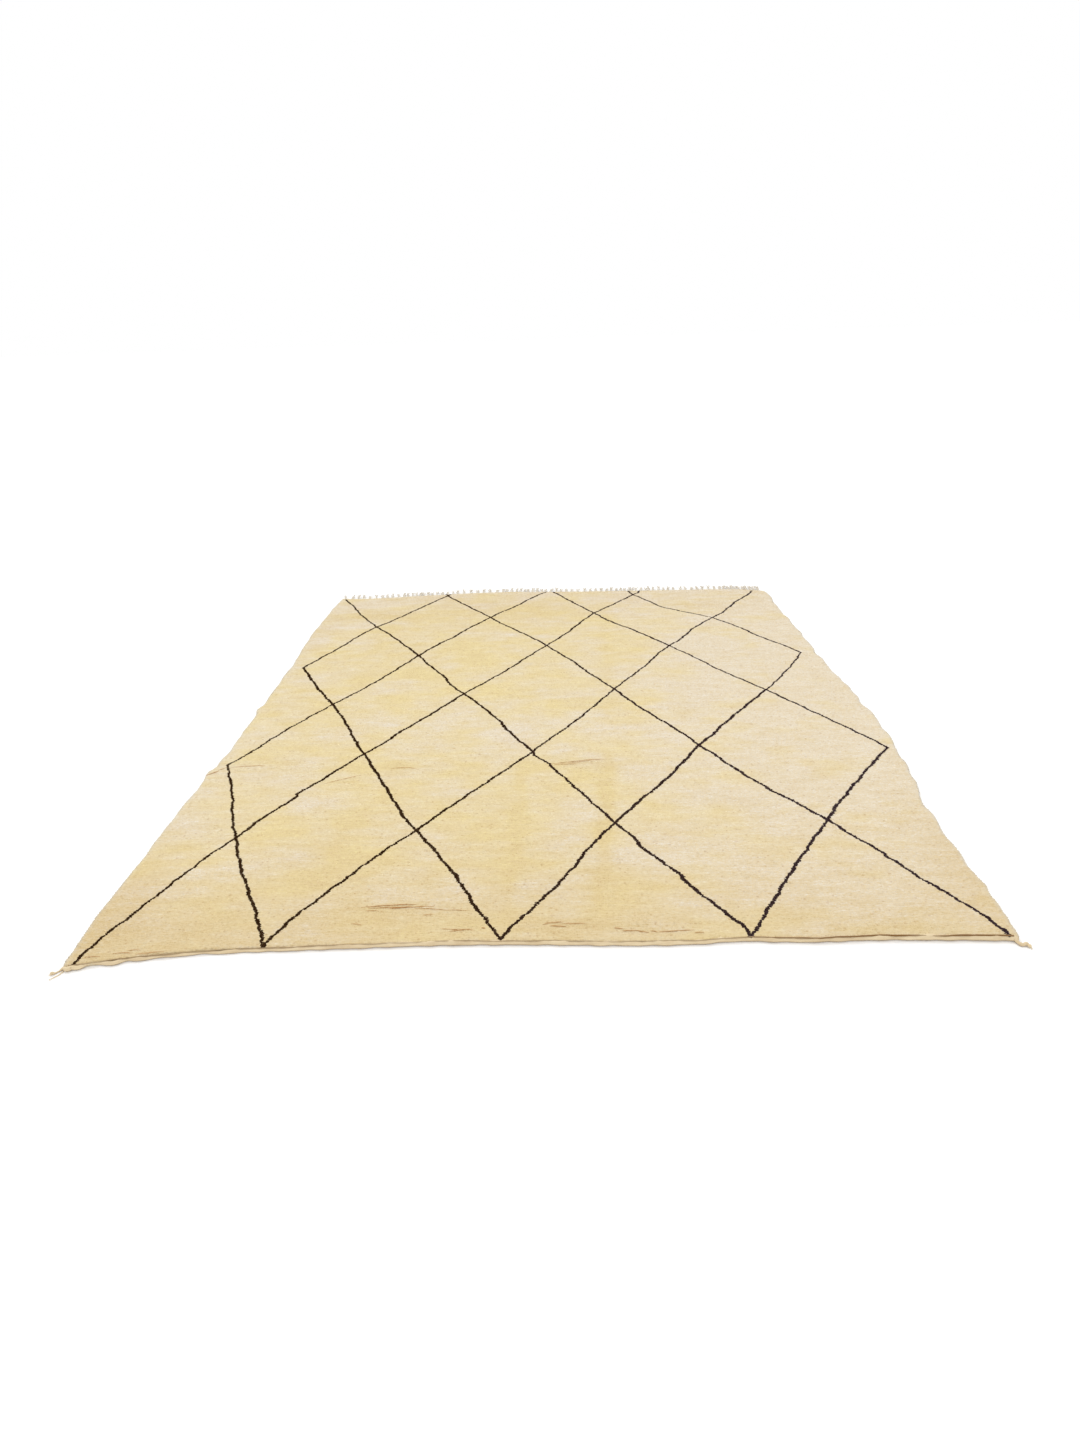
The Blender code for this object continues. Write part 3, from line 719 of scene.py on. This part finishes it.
def pile_material(name, root_shade_share):
    material, tree, shader = new_material(name, 0.92, sheen=0.15)
    cloud = noise(tree, (1, 1.4, 1), 3.4, roughness=0.5)
    patches = noise(tree, (1, 2.4, 1), 9, roughness=0.42)
    streaks = noise(tree, (1, 8, 1), 11, roughness=0.55)
    flecks = noise(tree, (1, 3.5, 1), 60)
    gold = shaken(tree, "gold", (cloud, 0.3, 0.7, -0.52, 0.52), (patches, 0.3, 0.7, -0.19, 0.19),
                  (streaks, 0.3, 0.7, -0.14, 0.14))
    dark = shaken(tree, "dark", (patches, 0.35, 0.75, -0.1, 0.18), (streaks, 0.3, 0.7, -0.11, 0.12),
                  (flecks, 0.3, 0.7, -0.36, 0.4))
    tone = spread(tree, value_of(tree, "tone"), 0, 1, 0, 0.48)
    # darker towards the roots: painted shade between the tufts
    root = math_node(tree, "MULTIPLY", value_of(tree, "root"), root_shade_share)
    # brown specks and wefts, and painted shade in the wrinkles and the groove
    mark = math_node(tree, "MULTIPLY", value_of(tree, "mark"), 0.85, clamp=True)
    # the rim value mixes in the painted side shade
    colour = layered(tree, PALE, (gold, GOLD), (dark, DEEP), (tone, DEEP), (root, ROOT_SHADE), (mark, PILE_BROWN_AND_SHADE),
                     (value_of(tree, "rim"), SIDE_SHADE_GREY))
    dress(tree, shader, colour, noise(tree, EVEN, 420), 0.35, 0.0012)
    return material


def lattice_material():
    material, tree, shader = new_material("charcoal_wool", 0.95, specular=0)
    across = linked(tree, "SeparateXYZ", {0: object_place(tree)}).outputs[0]
    dye = spread(tree, across, -0.3, 1)
    tone = value_of(tree, "tone")
    hairs = noise(tree, EVEN, 330)
    colour = layered(tree, layered(tree, DYE_LEFT, (dye, DYE_RIGHT)),
                     (spread(tree, tone, 0.55, 0.95, 0, 0.7), layered(tree, WORN_LEFT, (dye, WORN_RIGHT))),
                     (spread(tree, tone, 0.96, 1, 0, 0.6), WORN_OUT),
                     (spread(tree, hairs, 0.55, 0.8, 0, 0.3), HAIRS))
    dress(tree, shader, colour, hairs, 0.4, 0.0012)
    return material


def yarn_material(name, tones, ply_shade_share):
    """Spun wool: lighter on the plies, with painted shade where they meet, fine fibres and soft soiling."""
    material, tree, shader = new_material(name, 0.88, sheen=0.15)
    light, deep = tones
    soil = noise(tree, EVEN, 14, 4, 0.65)
    # where the plies meet: painted shade
    groove = math_node(tree, "MULTIPLY", value_of(tree, "groove"), ply_shade_share, clamp=True)
    colour = layered(tree, light, (spread(tree, soil, 0.38, 0.68, 0, 0.55), deep), (groove, deep),
                     # painted shade under the cord and in the groove, a faint darkening on the fringe
                     (value_of(tree, "mark"), YARN_BROWN_AND_SHADE))
    dress(tree, shader, colour, noise(tree, EVEN, 700), 0.35, 0.0008)
    return material


def floor_material():
    material, _, shader = new_material("studio_floor", 1, specular=0)
    shader.inputs["Base Color"].default_value = FLOOR
    shader.inputs["Emission Color"].default_value = WHITE
    shader.inputs["Emission Strength"].default_value = FLOOR_GLOW
    return material


# ---- the carpet's sheet ----
SHOULDER_LINES = (0, 0.08, 0.2, 0.4, 0.7, 1)  # grid lines of its rims, as shares of SHOULDER_RUN


def shares(cells, span):
    rim = np.array(SHOULDER_LINES) * SHOULDER_RUN / span
    inner = rim[-1] + (1 - 2 * rim[-1]) * np.arange(1, cells) / cells
    return np.concatenate([rim, inner, 1 - rim[::-1]])


def make_carpet(material):
    """A closed sheet: its top on a grid, walls around it, and one flat underside."""
    u, v = np.meshgrid(shares(BASE_CELLS[0], WIDTH), shares(BASE_CELLS[1], LENGTH))
    x, y = carpet_point(u, v)
    side, near, far = rim_distances(u, v)
    drop = np.maximum(np.maximum(shoulder(side), shoulder(far)), shoulder(near, near_drop(x)))
    marks = wrinkle_strength(x, y)
    top = pile_top(x, y) - drop - BASE_SINK - BASE_PART_SINK * marks
    count = u.size
    grid = np.arange(count).reshape(u.shape)
    quads = stack(grid[:-1, :-1], grid[:-1, 1:], grid[1:, 1:], grid[1:, :-1]).reshape(-1, 4)
    ring = np.concatenate([grid[0, :-1], grid[:-1, -1], grid[-1, :0:-1], grid[:0:-1, 0]])
    low = count + np.arange(len(ring))
    walls = stack(low, np.roll(low, -1), np.roll(ring, -1), ring)
    floor = stack(x.ravel()[ring], y.ravel()[ring], np.zeros(len(ring)))
    places = np.concatenate([stack(x, y, top).reshape(-1, 3), floor])
    # the sheet's top takes the painted root shade all over, and its walls the painted side shade
    values = stains_and_fold_shade(*places[:, :2].T, mark=np.concatenate([marks.ravel(), marks.ravel()[ring]]),
                    root=np.ones(len(places)), tone=np.full(len(places), 0.5),
                    rim=np.concatenate([np.zeros(count), np.full(len(ring), 0.6)]))
    piece = mesh_piece("carpet", places, [quads, walls, low[::-1][None, :]], material, values)
    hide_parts("pile_field")
    return piece


# ---- the pile ----
def make_pile(material, lines):
    columns, rows = round(WIDTH / KNOT_ACROSS), round(LENGTH / KNOT_ALONG)
    column, row = (grid.ravel() for grid in np.meshgrid(np.arange(columns), np.arange(rows)))
    count = len(column)
    sway = 0.25 * np.sin(row * 0.9) + dice.uniform(-0.2, 0.2, rows)[row]
    u = (column + 0.5 + 0.3 * sway + dice.uniform(-STRAY_ACROSS, STRAY_ACROSS, count)) / columns
    v = (row + 0.5 + dice.uniform(-STRAY_ALONG, STRAY_ALONG, count)) / rows
    u = np.clip(u, RIM_INSET / WIDTH, 1 - RIM_INSET / WIDTH)
    v = np.clip(v, RIM_INSET / LENGTH, 1 - RIM_INSET / LENGTH)
    x, y = carpet_point(u, v)
    bold = groove_shade_boldness(x)
    side, near, far = rim_distances(u, v)
    drop = np.maximum(np.maximum(shoulder(side, SIDE_DROP), shoulder(far, FAR_DROP)), near_shoulder(x, near))
    top = pile_top(x, y) - drop - PART_SINK * wrinkle_strength(x, y) + dice.normal(0, TUFT_UNEVEN, count)
    reach = TUFT_REACH * dice.uniform(0.86, 1.14, count) * (1 - 0.25 * (np.minimum(side, near) < 0.008))
    depth = TUFT_DEPTH * dice.uniform(0.9, 1.2, count)
    # tufts lean outward at the rims, and towards the near end elsewhere
    lean_x = np.sign(u - 0.5) * LEAN_SIDE * fade(side, LEAN_REACH) + dice.normal(0, 0.001, count)
    lean_y = (-0.0012 + LEAN_FAR * fade(far, LEAN_REACH) + (0.003 * bold - 0.002) * fade(near, 0.01)
              + dice.normal(0, 0.0009, count))
    spin = dice.uniform(0, math.pi / 2, count)
    # each yarn knots a run of its row, so neighbours in a row share part of their tone
    runs = dice.uniform(0, 1, (rows, columns // RUN + 2))
    at = column / RUN + dice.uniform(0, 1, rows)[row]
    left_run = np.minimum(at.astype(int), runs.shape[1] - 2)
    part = smooth_step((at - left_run - 0.35) / 0.3)
    tone = (0.5 * (runs[row, left_run] * (1 - part) + runs[row, left_run + 1] * part)
            + 0.5 * dice.uniform(0, 1, count) ** 1.5)
    speck = SPECK * (dice.uniform(0, 1, count) < SPECK_SHARE)
    # painted shade in the groove by the cord, with the brown specks
    specks_and_groove_shade = GROOVE_SHADE * bold ** 2 * bell(near / GROOVE_SHADE_REACH) + speck
    # painted shade along the selvedges
    rim = SIDE_SHADE_SHARE * bell(side / SIDE_SHADE_REACH)

    kept = ~in_lattice(x, y, lines)
    strip = np.minimum((row * PILE_STRIPS) // rows, PILE_STRIPS - 1)
    pieces = []
    for k in range(PILE_STRIPS):
        chosen = kept & (strip == k)
        parts = (array[chosen] for array in (x, y, top, reach, depth, lean_x, lean_y, spin))
        places, faces, root = tuft_arrays(*parts)
        spots = places[:, :2].T
        mark = np.maximum(wrinkle_strength(*spots), to_points(specks_and_groove_shade[chosen]))
        values = stains_and_fold_shade(*spots, root=root, tone=to_points(tone[chosen]),
                        rim=to_points(rim[chosen]), mark=mark)
        pieces.append(mesh_piece(f"pile_{k + 1}", places, [faces], material, values, True))
    return pieces


def make_lattice(material, lines):
    x, y = lattice_knots(lines)
    edge = np.minimum(x - left_edge(y), right_edge(y) - x)
    near, far = y - near_rim(x), far_rim(x) - y
    side_inset, near_inset, far_inset = DARK_INSETS
    inside = (edge > side_inset) & (near > near_inset) & (far > far_inset)
    x, y, edge, near, far = (array[inside] for array in (x, y, edge, near, far))
    count = len(x)
    drop = np.maximum(shoulder(np.minimum(edge, far), DARK_DROP), near_shoulder(x, near))
    top = pile_top(x, y) - drop + dice.normal(0.0001, 0.0004, count)
    reach = DARK_REACH * dice.uniform(0.8, 1.2, count)
    depth = DARK_DEPTH * dice.uniform(0.9, 1.1, count)
    lean_x, lean_y = dice.normal(0, 0.0008, count), dice.normal(-0.0008, 0.0008, count)
    spin = dice.uniform(0, math.pi / 2, count)
    places, faces, root = tuft_arrays(x, y, top, reach, depth, lean_x, lean_y, spin)
    values = {"tone": to_points(dice.uniform(0, 1, count)), "root": root}
    return mesh_piece("lattice", places, [faces], material, values, True)


def make_rim_locks(material):
    """Longer locks that stand out from the selvedges and the far end, in three rows."""
    places, tone = [], []
    for out, height, reach in LOCKS:
        for edge, span in (("left", LENGTH), ("right", LENGTH), ("far", WIDTH)):
            count = int(span / LOCK_PITCH)
            t = np.clip((np.arange(count) + 0.5 + dice.uniform(-0.35, 0.35, count)) / count, 0.001, 0.999)
            if edge == "far":
                x, y = carpet_point(t, 1)
                away = stack(dice.normal(0, 0.3, count), np.ones(count))
            else:
                sign = -1 if edge == "left" else 1
                x, y = carpet_point(max(sign, 0), t)
                away = stack(np.full(count, sign), dice.normal(-0.1, 0.3, count))
            away /= np.linalg.norm(away, axis=1)[:, None]
            z = height + dice.normal(0, 0.0007, count)
            long = reach * dice.uniform(0.6, 1.15, count)
            half = LOCK_HALF * dice.uniform(0.8, 1.3, count)
            beside = half[:, None] * stack(-away[:, 1], away[:, 0])
            rim = stack(x, y)
            lock = np.empty((count, TUFT_POINTS, 3))
            for corner, (a, b) in enumerate(((-1, -1), (1, -1), (1, 1), (-1, 1))):
                lock[:, corner, :2] = rim - LOCK_ROOT * away + a * beside
                lock[:, corner, 2] = z + b * LOCK_HALF
            lock[:, 4, :2] = rim + (out + long)[:, None] * LOCK_OUT * away
            lock[:, 4, 2] = np.maximum(z - LOCK_DROOP - LOCK_SAG * long, LOCK_LOWEST)
            places.append(lock.reshape(-1, 3))
            tone.append(to_points(dice.uniform(0, 1, count)))
    places = np.concatenate(places)
    count = len(places) // TUFT_POINTS
    # the locks take some painted root shade, and the painted side shade
    values = stains_and_fold_shade(*places[:, :2].T, root=np.tile((0.4, 0.4, 0.4, 0.4, 0), count),
                    tone=np.concatenate(tone), mark=np.zeros(len(places)), rim=np.full(len(places), 0.75))
    values["gold"] *= 0.4
    return mesh_piece("rim_locks", places, [pyramid_faces(count)], material, values, True)


# ---- yarns ----
# How each is spun: sides of its tube, plies, length of a twist, depth of the grooves between plies.
CORD_SPIN = (18, 2, 0.19, 0.045)
THIN_SPIN = (6, 2, 0.011, 0.15)
STRAY_SPIN = (8, 2, 0.008, 0.25)
TAIL_SPIN = (8, 2, 0.009, 0.22)
HAIR_SPIN = (4, 1, 1, 0)
WEFT_SPIN = (6, 2, 0.012, 0.2)
WARP_SPIN = (5, 2, 0.009, 0.22)
BINDING_SPIN = (6, 2, 0.008, 0.2)


def smooth_path(points, step):
    """Points a step apart on a smooth curve through rows of any number of columns."""
    points = np.asarray(points, float)
    padded = np.vstack([2 * points[0] - points[1], points, 2 * points[-1] - points[-2]])
    rows = []
    for i in range(1, len(padded) - 2):
        a, b, c, d = padded[i - 1:i + 3]
        parts = max(1, int(round(np.linalg.norm((c - b)[:2]) / step)))
        for t in np.arange(parts) / parts:
            rows.append(0.5 * (2 * b + (c - a) * t + (2 * a - 5 * b + 4 * c - d) * t ** 2
                               + (3 * b - a - 3 * c + d) * t ** 3))
    rows.append(padded[-2])
    return np.array(rows)


class Bundle:
    """Several yarns joined into one mesh."""

    def __init__(self):
        self.places, self.faces, self.groove, self.mark, self.count = [], [], [], [], 0

    def add(self, path, radius, spin, phase=0, mark=0):
        """Add a tube of plied yarn along a path, closed at both ends and kept over the floor."""
        sides, plies, pitch, depth = spin
        forward = np.gradient(path, axis=0)
        forward /= np.linalg.norm(forward, axis=1)[:, None]
        side = np.cross(forward, (0, 0, 1))
        side /= np.maximum(np.linalg.norm(side, axis=1), 1e-9)[:, None]
        up = np.cross(side, forward)
        gone = np.concatenate([[0], np.cumsum(np.linalg.norm(np.diff(path, axis=0), axis=1))])
        angle = 2 * math.pi * np.arange(sides)[None, :] / sides
        twist = 2 * math.pi * gone[:, None] / pitch + phase
        lobe = np.abs(np.cos(0.5 * plies * (angle - twist))) ** 0.8
        size = np.broadcast_to(radius, len(path))[:, None] * (1 - depth * (1 - lobe))
        ring = (path[:, None, :] + (size * np.cos(angle))[..., None] * side[:, None, :]
                + (size * np.sin(angle))[..., None] * up[:, None, :])
        places = ring.reshape(-1, 3)
        places[:, 2] = np.maximum(places[:, 2], 0)
        grid = self.count + np.arange(len(places)).reshape(len(path), sides)
        right = np.roll(grid, -1, axis=1)
        quads = stack(grid[:-1], right[:-1], right[1:], grid[1:]).reshape(-1, 4)
        self.places.append(places)
        self.faces += [quads, grid[0][::-1][None, :], grid[-1][None, :]]
        self.groove.append((1 - lobe).ravel())
        self.mark.append(np.broadcast_to(mark, len(places)))
        self.count += len(places)

    def piece(self, name, material, slot):
        values = {"groove": np.concatenate(self.groove), "mark": np.concatenate(self.mark)}
        return mesh_piece(name, np.concatenate(self.places), self.faces, material, values)


def make_partings(material):
    """The wefts that show in the wrinkles, thinner towards their ends. In the fold's shadow by the left
    selvedge such a yarn stands in for painted shadow.
    """
    bundle = Bundle()
    for number, wrinkle in enumerate(WRINKLES):
        dx, dy = wrinkle.x1 - wrinkle.x0, wrinkle.y1 - wrinkle.y0
        size = math.hypot(dx, dy)
        t = np.linspace(0, 1, max(5, int(size / 0.005)))
        beside = 4 * wrinkle.bow * t * (1 - t) + 0.0006 * np.sin(t * size / 0.009 + number)
        x = wrinkle.x0 + dx * t - beside * dy / size
        y = wrinkle.y0 + dy * t + beside * dx / size
        ends = between_ends(t, WRINKLE_TAPER)
        thin = (0.35 + 0.65 * ends) * (1 + 0.15 * np.sin(t * size / 0.006))
        path = stack(x, y, pile_top(x, y) - 0.0012 * (1 - ends) + 0.0002)
        bundle.add(path, (0.0005 + 0.0008 * wrinkle.strength) * thin, THIN_SPIN)
    return bundle.piece("parting_wefts", material, "pile_wool")


# ---- the heading cord ----
def cord_route():
    """The cord's centre line along the carpet's near rim, with the tails at both ends."""
    x, y = carpet_point(np.linspace(0, 1, 90), 0)
    x[0] += CORD_END_IN
    x[-1] -= CORD_END_IN
    size = cord_size(x)
    # under the pile's edge, its front where the solid's cord has it
    body = stack(x, y + lap(x) - CORD_FRONT + 0.6 * size, size)
    return smooth_path(np.vstack([LEFT_TAIL[::-1], body, RIGHT_TAIL]), CORD_STEP)


def groove_shade_yarn():
    """The dark yarn of painted shade in the groove and its radius: it sinks into the pile where it is less
    bold.
    """
    x, y = carpet_point(np.linspace(0.006, 0.994, 900), 0)
    wander = GROOVE_SHADE_WAVE * (0.6 * ripple(x, 0.31, 0.8) + 0.4 * ripple(x, 0.117))
    bold = groove_shade_boldness(x)
    dip = 0.003 * smooth_step((0.25 - bold) / 0.2) + 0.0008 * smooth_step(ripple(x, 0.071) - 0.4)
    top = 2 * cord_size(x) + 0.0004 + 0.0006 * bold - 0.2 * np.abs(wander) - dip
    return stack(x, y - GROOVE_SHADE_OUT + wander, top), GROOVE_SHADE_RADIUS * (0.5 + 0.75 * bold), 0.35 + 0.62 * bold


def make_heading(material):
    bundle = Bundle()
    route = cord_route()
    x, y, radius = route.T
    body = (x > CORD_BODY[0]) & (x < CORD_BODY[1])
    lumps = 0.035 * np.sin(41 * x) + 0.03 * np.sin(97 * x + 1.3) + 0.02 * np.sin(211 * x)
    radius = radius * (1 + lumps * np.where(body, 1.5, 0.3))
    sway = 0.001 * np.sin(63 * x + 0.5) + 0.0007 * ripple(x, 0.062) + read_table(HEADING, 2, x)
    path = stack(x, y + sway * body, np.maximum(radius, 0.0012))
    sides = CORD_SPIN[0]
    # painted shade on the cord's underside, towards the dark brown
    shade = 0.66 * np.clip(-np.sin(2 * math.pi * np.arange(sides) / sides), 0, 1) ** 0.8
    bundle.add(path, radius, CORD_SPIN, mark=np.tile(shade, len(path)))
    # a dark yarn in the groove, as its painted shade
    shade_yarn, shade_yarn_radius, mark = groove_shade_yarn()
    bundle.add(shade_yarn, shade_yarn_radius, THIN_SPIN, mark=np.repeat(mark, THIN_SPIN[0]))
    stray = smooth_path(STRAY_YARN, 0.0012)
    bundle.add(stray + (0, 0, 0.0002), stray[:, 2], STRAY_SPIN)
    # the knots of the tails: a turn of the yarn round itself
    turns = np.linspace(0, 2 * math.pi * 1.6, 46)
    for number, (kx, ky, size, thick) in enumerate(TAIL_KNOTS):
        heading = 0.9 if kx < 0 else -0.9
        drift, beside = np.linspace(-0.35, 0.35, 46) * size, 0.75 * size * np.cos(turns)
        loop_x = kx + drift * math.cos(heading) + beside * math.sin(heading)
        loop_y = ky + drift * math.sin(heading) - beside * math.cos(heading)
        loop_z = np.maximum(size + 0.0003 + 0.75 * size * np.sin(turns + number), thick)
        bundle.add(stack(loop_x, loop_y, loop_z), thick, TAIL_SPIN)
    for ex, ey, heading in FRAYS:
        for _ in range(FRAY_HAIRS):
            turn = heading + dice.uniform(-0.7, 0.7) + (math.pi if ex < 0 else 0)
            size = dice.uniform(0.004, 0.009)
            t = np.linspace(0, 1, 6)
            bend = turn + dice.uniform(-0.4, 0.4) * t
            rise = 0.0012 + (0.0015 + dice.uniform(0, 0.002)) * t * (1 - t) * 2
            hair = stack(ex + size * t * np.cos(bend), ey + size * t * np.sin(bend), rise)
            bundle.add(hair, 0.00035 * (1 - 0.6 * t), HAIR_SPIN)
    piece = bundle.piece("heading_cord_wool", material, "cord_wool")
    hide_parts("heading_cord")
    return piece


# ---- the fringe ----
END_WEFTS, END_WEFT_RADIUS = 4, 0.0019
END_WEFT_OUT, END_WEFT_PITCH = 0.0016, 0.0026  # from the pile to the first one, and to the next
TASSEL_PITCH = 0.0335
DENSE_FROM, DENSE_SHARE = 1.12, 0.8  # tassels stand closer together past this place across
TASSEL_LENGTH = 0.11
TASSEL_SPREAD = 0.021  # sideways spread of a tassel's tips
ROOT_SPREAD, KNOT_SPREAD = 0.017, 0.0035
SPRING = 0.0145  # stiff warp ends spring up from the floor
KNOT_AT = (0.017, 0.024)  # how far out from the pile the tassels' knots lie
END_RADIUS, BINDING_RADIUS = 0.0023, 0.0019


def make_fringe(material):
    bundle = Bundle()
    # the woven end: wefts side by side along the far rim
    x, y = carpet_point(np.linspace(0.004, 0.996, 420), 1)
    for k in range(END_WEFTS):
        radius = END_WEFT_RADIUS * (1 + 0.08 * np.sin(160 * x + 2 * k))
        height = 0.003 + 0.0006 * (END_WEFTS - 1 - k) + 0.0003 * np.sin(90 * x + 1.9 * k)
        out = END_WEFT_OUT + END_WEFT_PITCH * k
        bundle.add(stack(x, y + out, height), radius, WEFT_SPIN, k, mark=0.04)
    # tassels in uneven groups
    at, places = x[0] + 0.008, []
    while at < x[-1] - 0.006:
        places.append(at)
        dense = 1 if at < DENSE_FROM else DENSE_SHARE
        at += dense * (TASSEL_PITCH + 0.008 * math.sin(9 * at) + dice.uniform(-0.006, 0.006))
    turns, lie = np.linspace(0, 2 * math.pi * 1.5, 22), 0.003 * np.linspace(-1, 1, 22)
    for centre in places:
        rim = float(np.interp(centre, x, y))
        lean = 0.01 * math.sin(1.9 * centre + 0.7) + dice.uniform(-0.006, 0.006)
        size = TASSEL_LENGTH * (1 + dice.uniform(-0.16, 0.04))
        knot_at = dice.uniform(*KNOT_AT)
        knot_centre = centre + lean * 0.2
        lift = SPRING * dice.uniform(0.35, 1)
        strands = 4 + int(dice.integers(0, 3))
        for k in range(strands):
            share = (k - (strands - 1) / 2) / strands
            length = size * (1 + dice.uniform(-0.18, 0.03))
            root_x, knot_x = centre + ROOT_SPREAD * share, knot_centre + KNOT_SPREAD * share
            tip_x = centre + lean + TASSEL_SPREAD * share + dice.uniform(-0.003, 0.003)
            bend = dice.uniform(-0.005, 0.005)
            rise = lift * dice.uniform(0.55, 1.1)
            path = smooth_path((
                (root_x, rim + 0.006, 0.0042),
                (0.5 * (root_x + knot_x), rim + 0.5 * knot_at, 0.0044),
                (knot_x, rim + knot_at, 0.005),
                (0.6 * knot_x + 0.4 * tip_x + bend, rim + 0.45 * length, 0.004 + 0.5 * rise),
                (0.25 * knot_x + 0.75 * tip_x - bend, rim + 0.75 * length, 0.003 + rise),
                (tip_x, rim + length, 0.002 + 0.9 * rise),
            ), 0.0085)
            thick = END_RADIUS * dice.uniform(0.85, 1.15)
            radius = thick * np.interp(np.linspace(0, 1, len(path)), (0, 0.85, 1), (1, 1, 0.55))
            bundle.add(path, radius, WARP_SPIN, dice.uniform(0, 6))
        knot_x, knot_z = knot_centre + 0.005 * np.cos(turns), 0.0048 + 0.003 * np.sin(turns)
        knot = stack(knot_x, rim + knot_at + lie, knot_z)
        bundle.add(knot, BINDING_RADIUS, BINDING_SPIN, mark=0.05)
    piece = bundle.piece("fringe_wool_yarns", material, "fringe_wool")
    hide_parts("fringe")
    return piece


# ---- stage, light and camera ----
FLOOR_HALF, FLOOR_SINK = 60, 0.0004
SUN_POWER, SUN_SPREAD = 0.8, math.radians(35)
SUN_COLOUR = (1, 0.985, 0.96)
SUN_TURN = (math.radians(-38), math.radians(-22), 0)
CAMERA_PLACE = (0.0962, -3.999, 1.6732)
CAMERA_TURN = (66.168, 1.787, 1.26)  # degrees about x, y and z: tilt from straight down, roll, pan
LENS_MM, SENSOR_MM = 23.125, 36


def make_stage():
    mesh = bpy.data.meshes.new("floor")
    corners = [(a * FLOOR_HALF, b * FLOOR_HALF, -FLOOR_SINK) for a, b in ((-1, -1), (1, -1), (1, 1), (-1, 1))]
    mesh.from_pydata(corners, [], [(0, 1, 2, 3)])
    mesh.materials.append(floor_material())
    floor = add_object("floor", mesh)

    world = bpy.data.worlds.new("studio")
    world.use_nodes = True
    world.node_tree.nodes["Background"].inputs["Color"].default_value = WHITE
    world.node_tree.nodes["Background"].inputs["Strength"].default_value = 1
    bpy.context.scene.world = world

    lamp = bpy.data.lights.new("softbox", "SUN")
    lamp.energy = SUN_POWER
    lamp.angle = SUN_SPREAD
    lamp.color = SUN_COLOUR
    add_object("softbox", lamp).rotation_euler = SUN_TURN


def make_camera():
    data = bpy.data.cameras.new("camera")
    data.sensor_width = SENSOR_MM
    data.lens = LENS_MM
    data.clip_end = 200
    camera = add_object("camera", data)
    camera.location = CAMERA_PLACE
    camera.rotation_euler = [math.radians(turn) for turn in CAMERA_TURN]
    bpy.context.scene.camera = camera


def main():
    bpy.context.scene.view_settings.view_transform = "Standard"
    make_camera()
    make_stage()
    pile_wool = pile_material("pile_wool_knots", 0.35)
    # the sheet between the tufts takes more of the painted root shade
    carpet = make_carpet(pile_material("pile_wool_ground", 0.55))
    lines = lattice_lines()
    others = make_pile(pile_wool, lines)
    others.append(make_lattice(lattice_material(), lines))
    others.append(make_rim_locks(pile_wool))
    others.append(make_partings(yarn_material("weft_wool_brown", WEFT_TONES, 0.3)))
    others.append(make_heading(yarn_material("cord_wool_twined", CORD_TONES, 0.3)))
    others.append(make_fringe(yarn_material("fringe_wool_spun", FRINGE_TONES, 0.6)))


main()
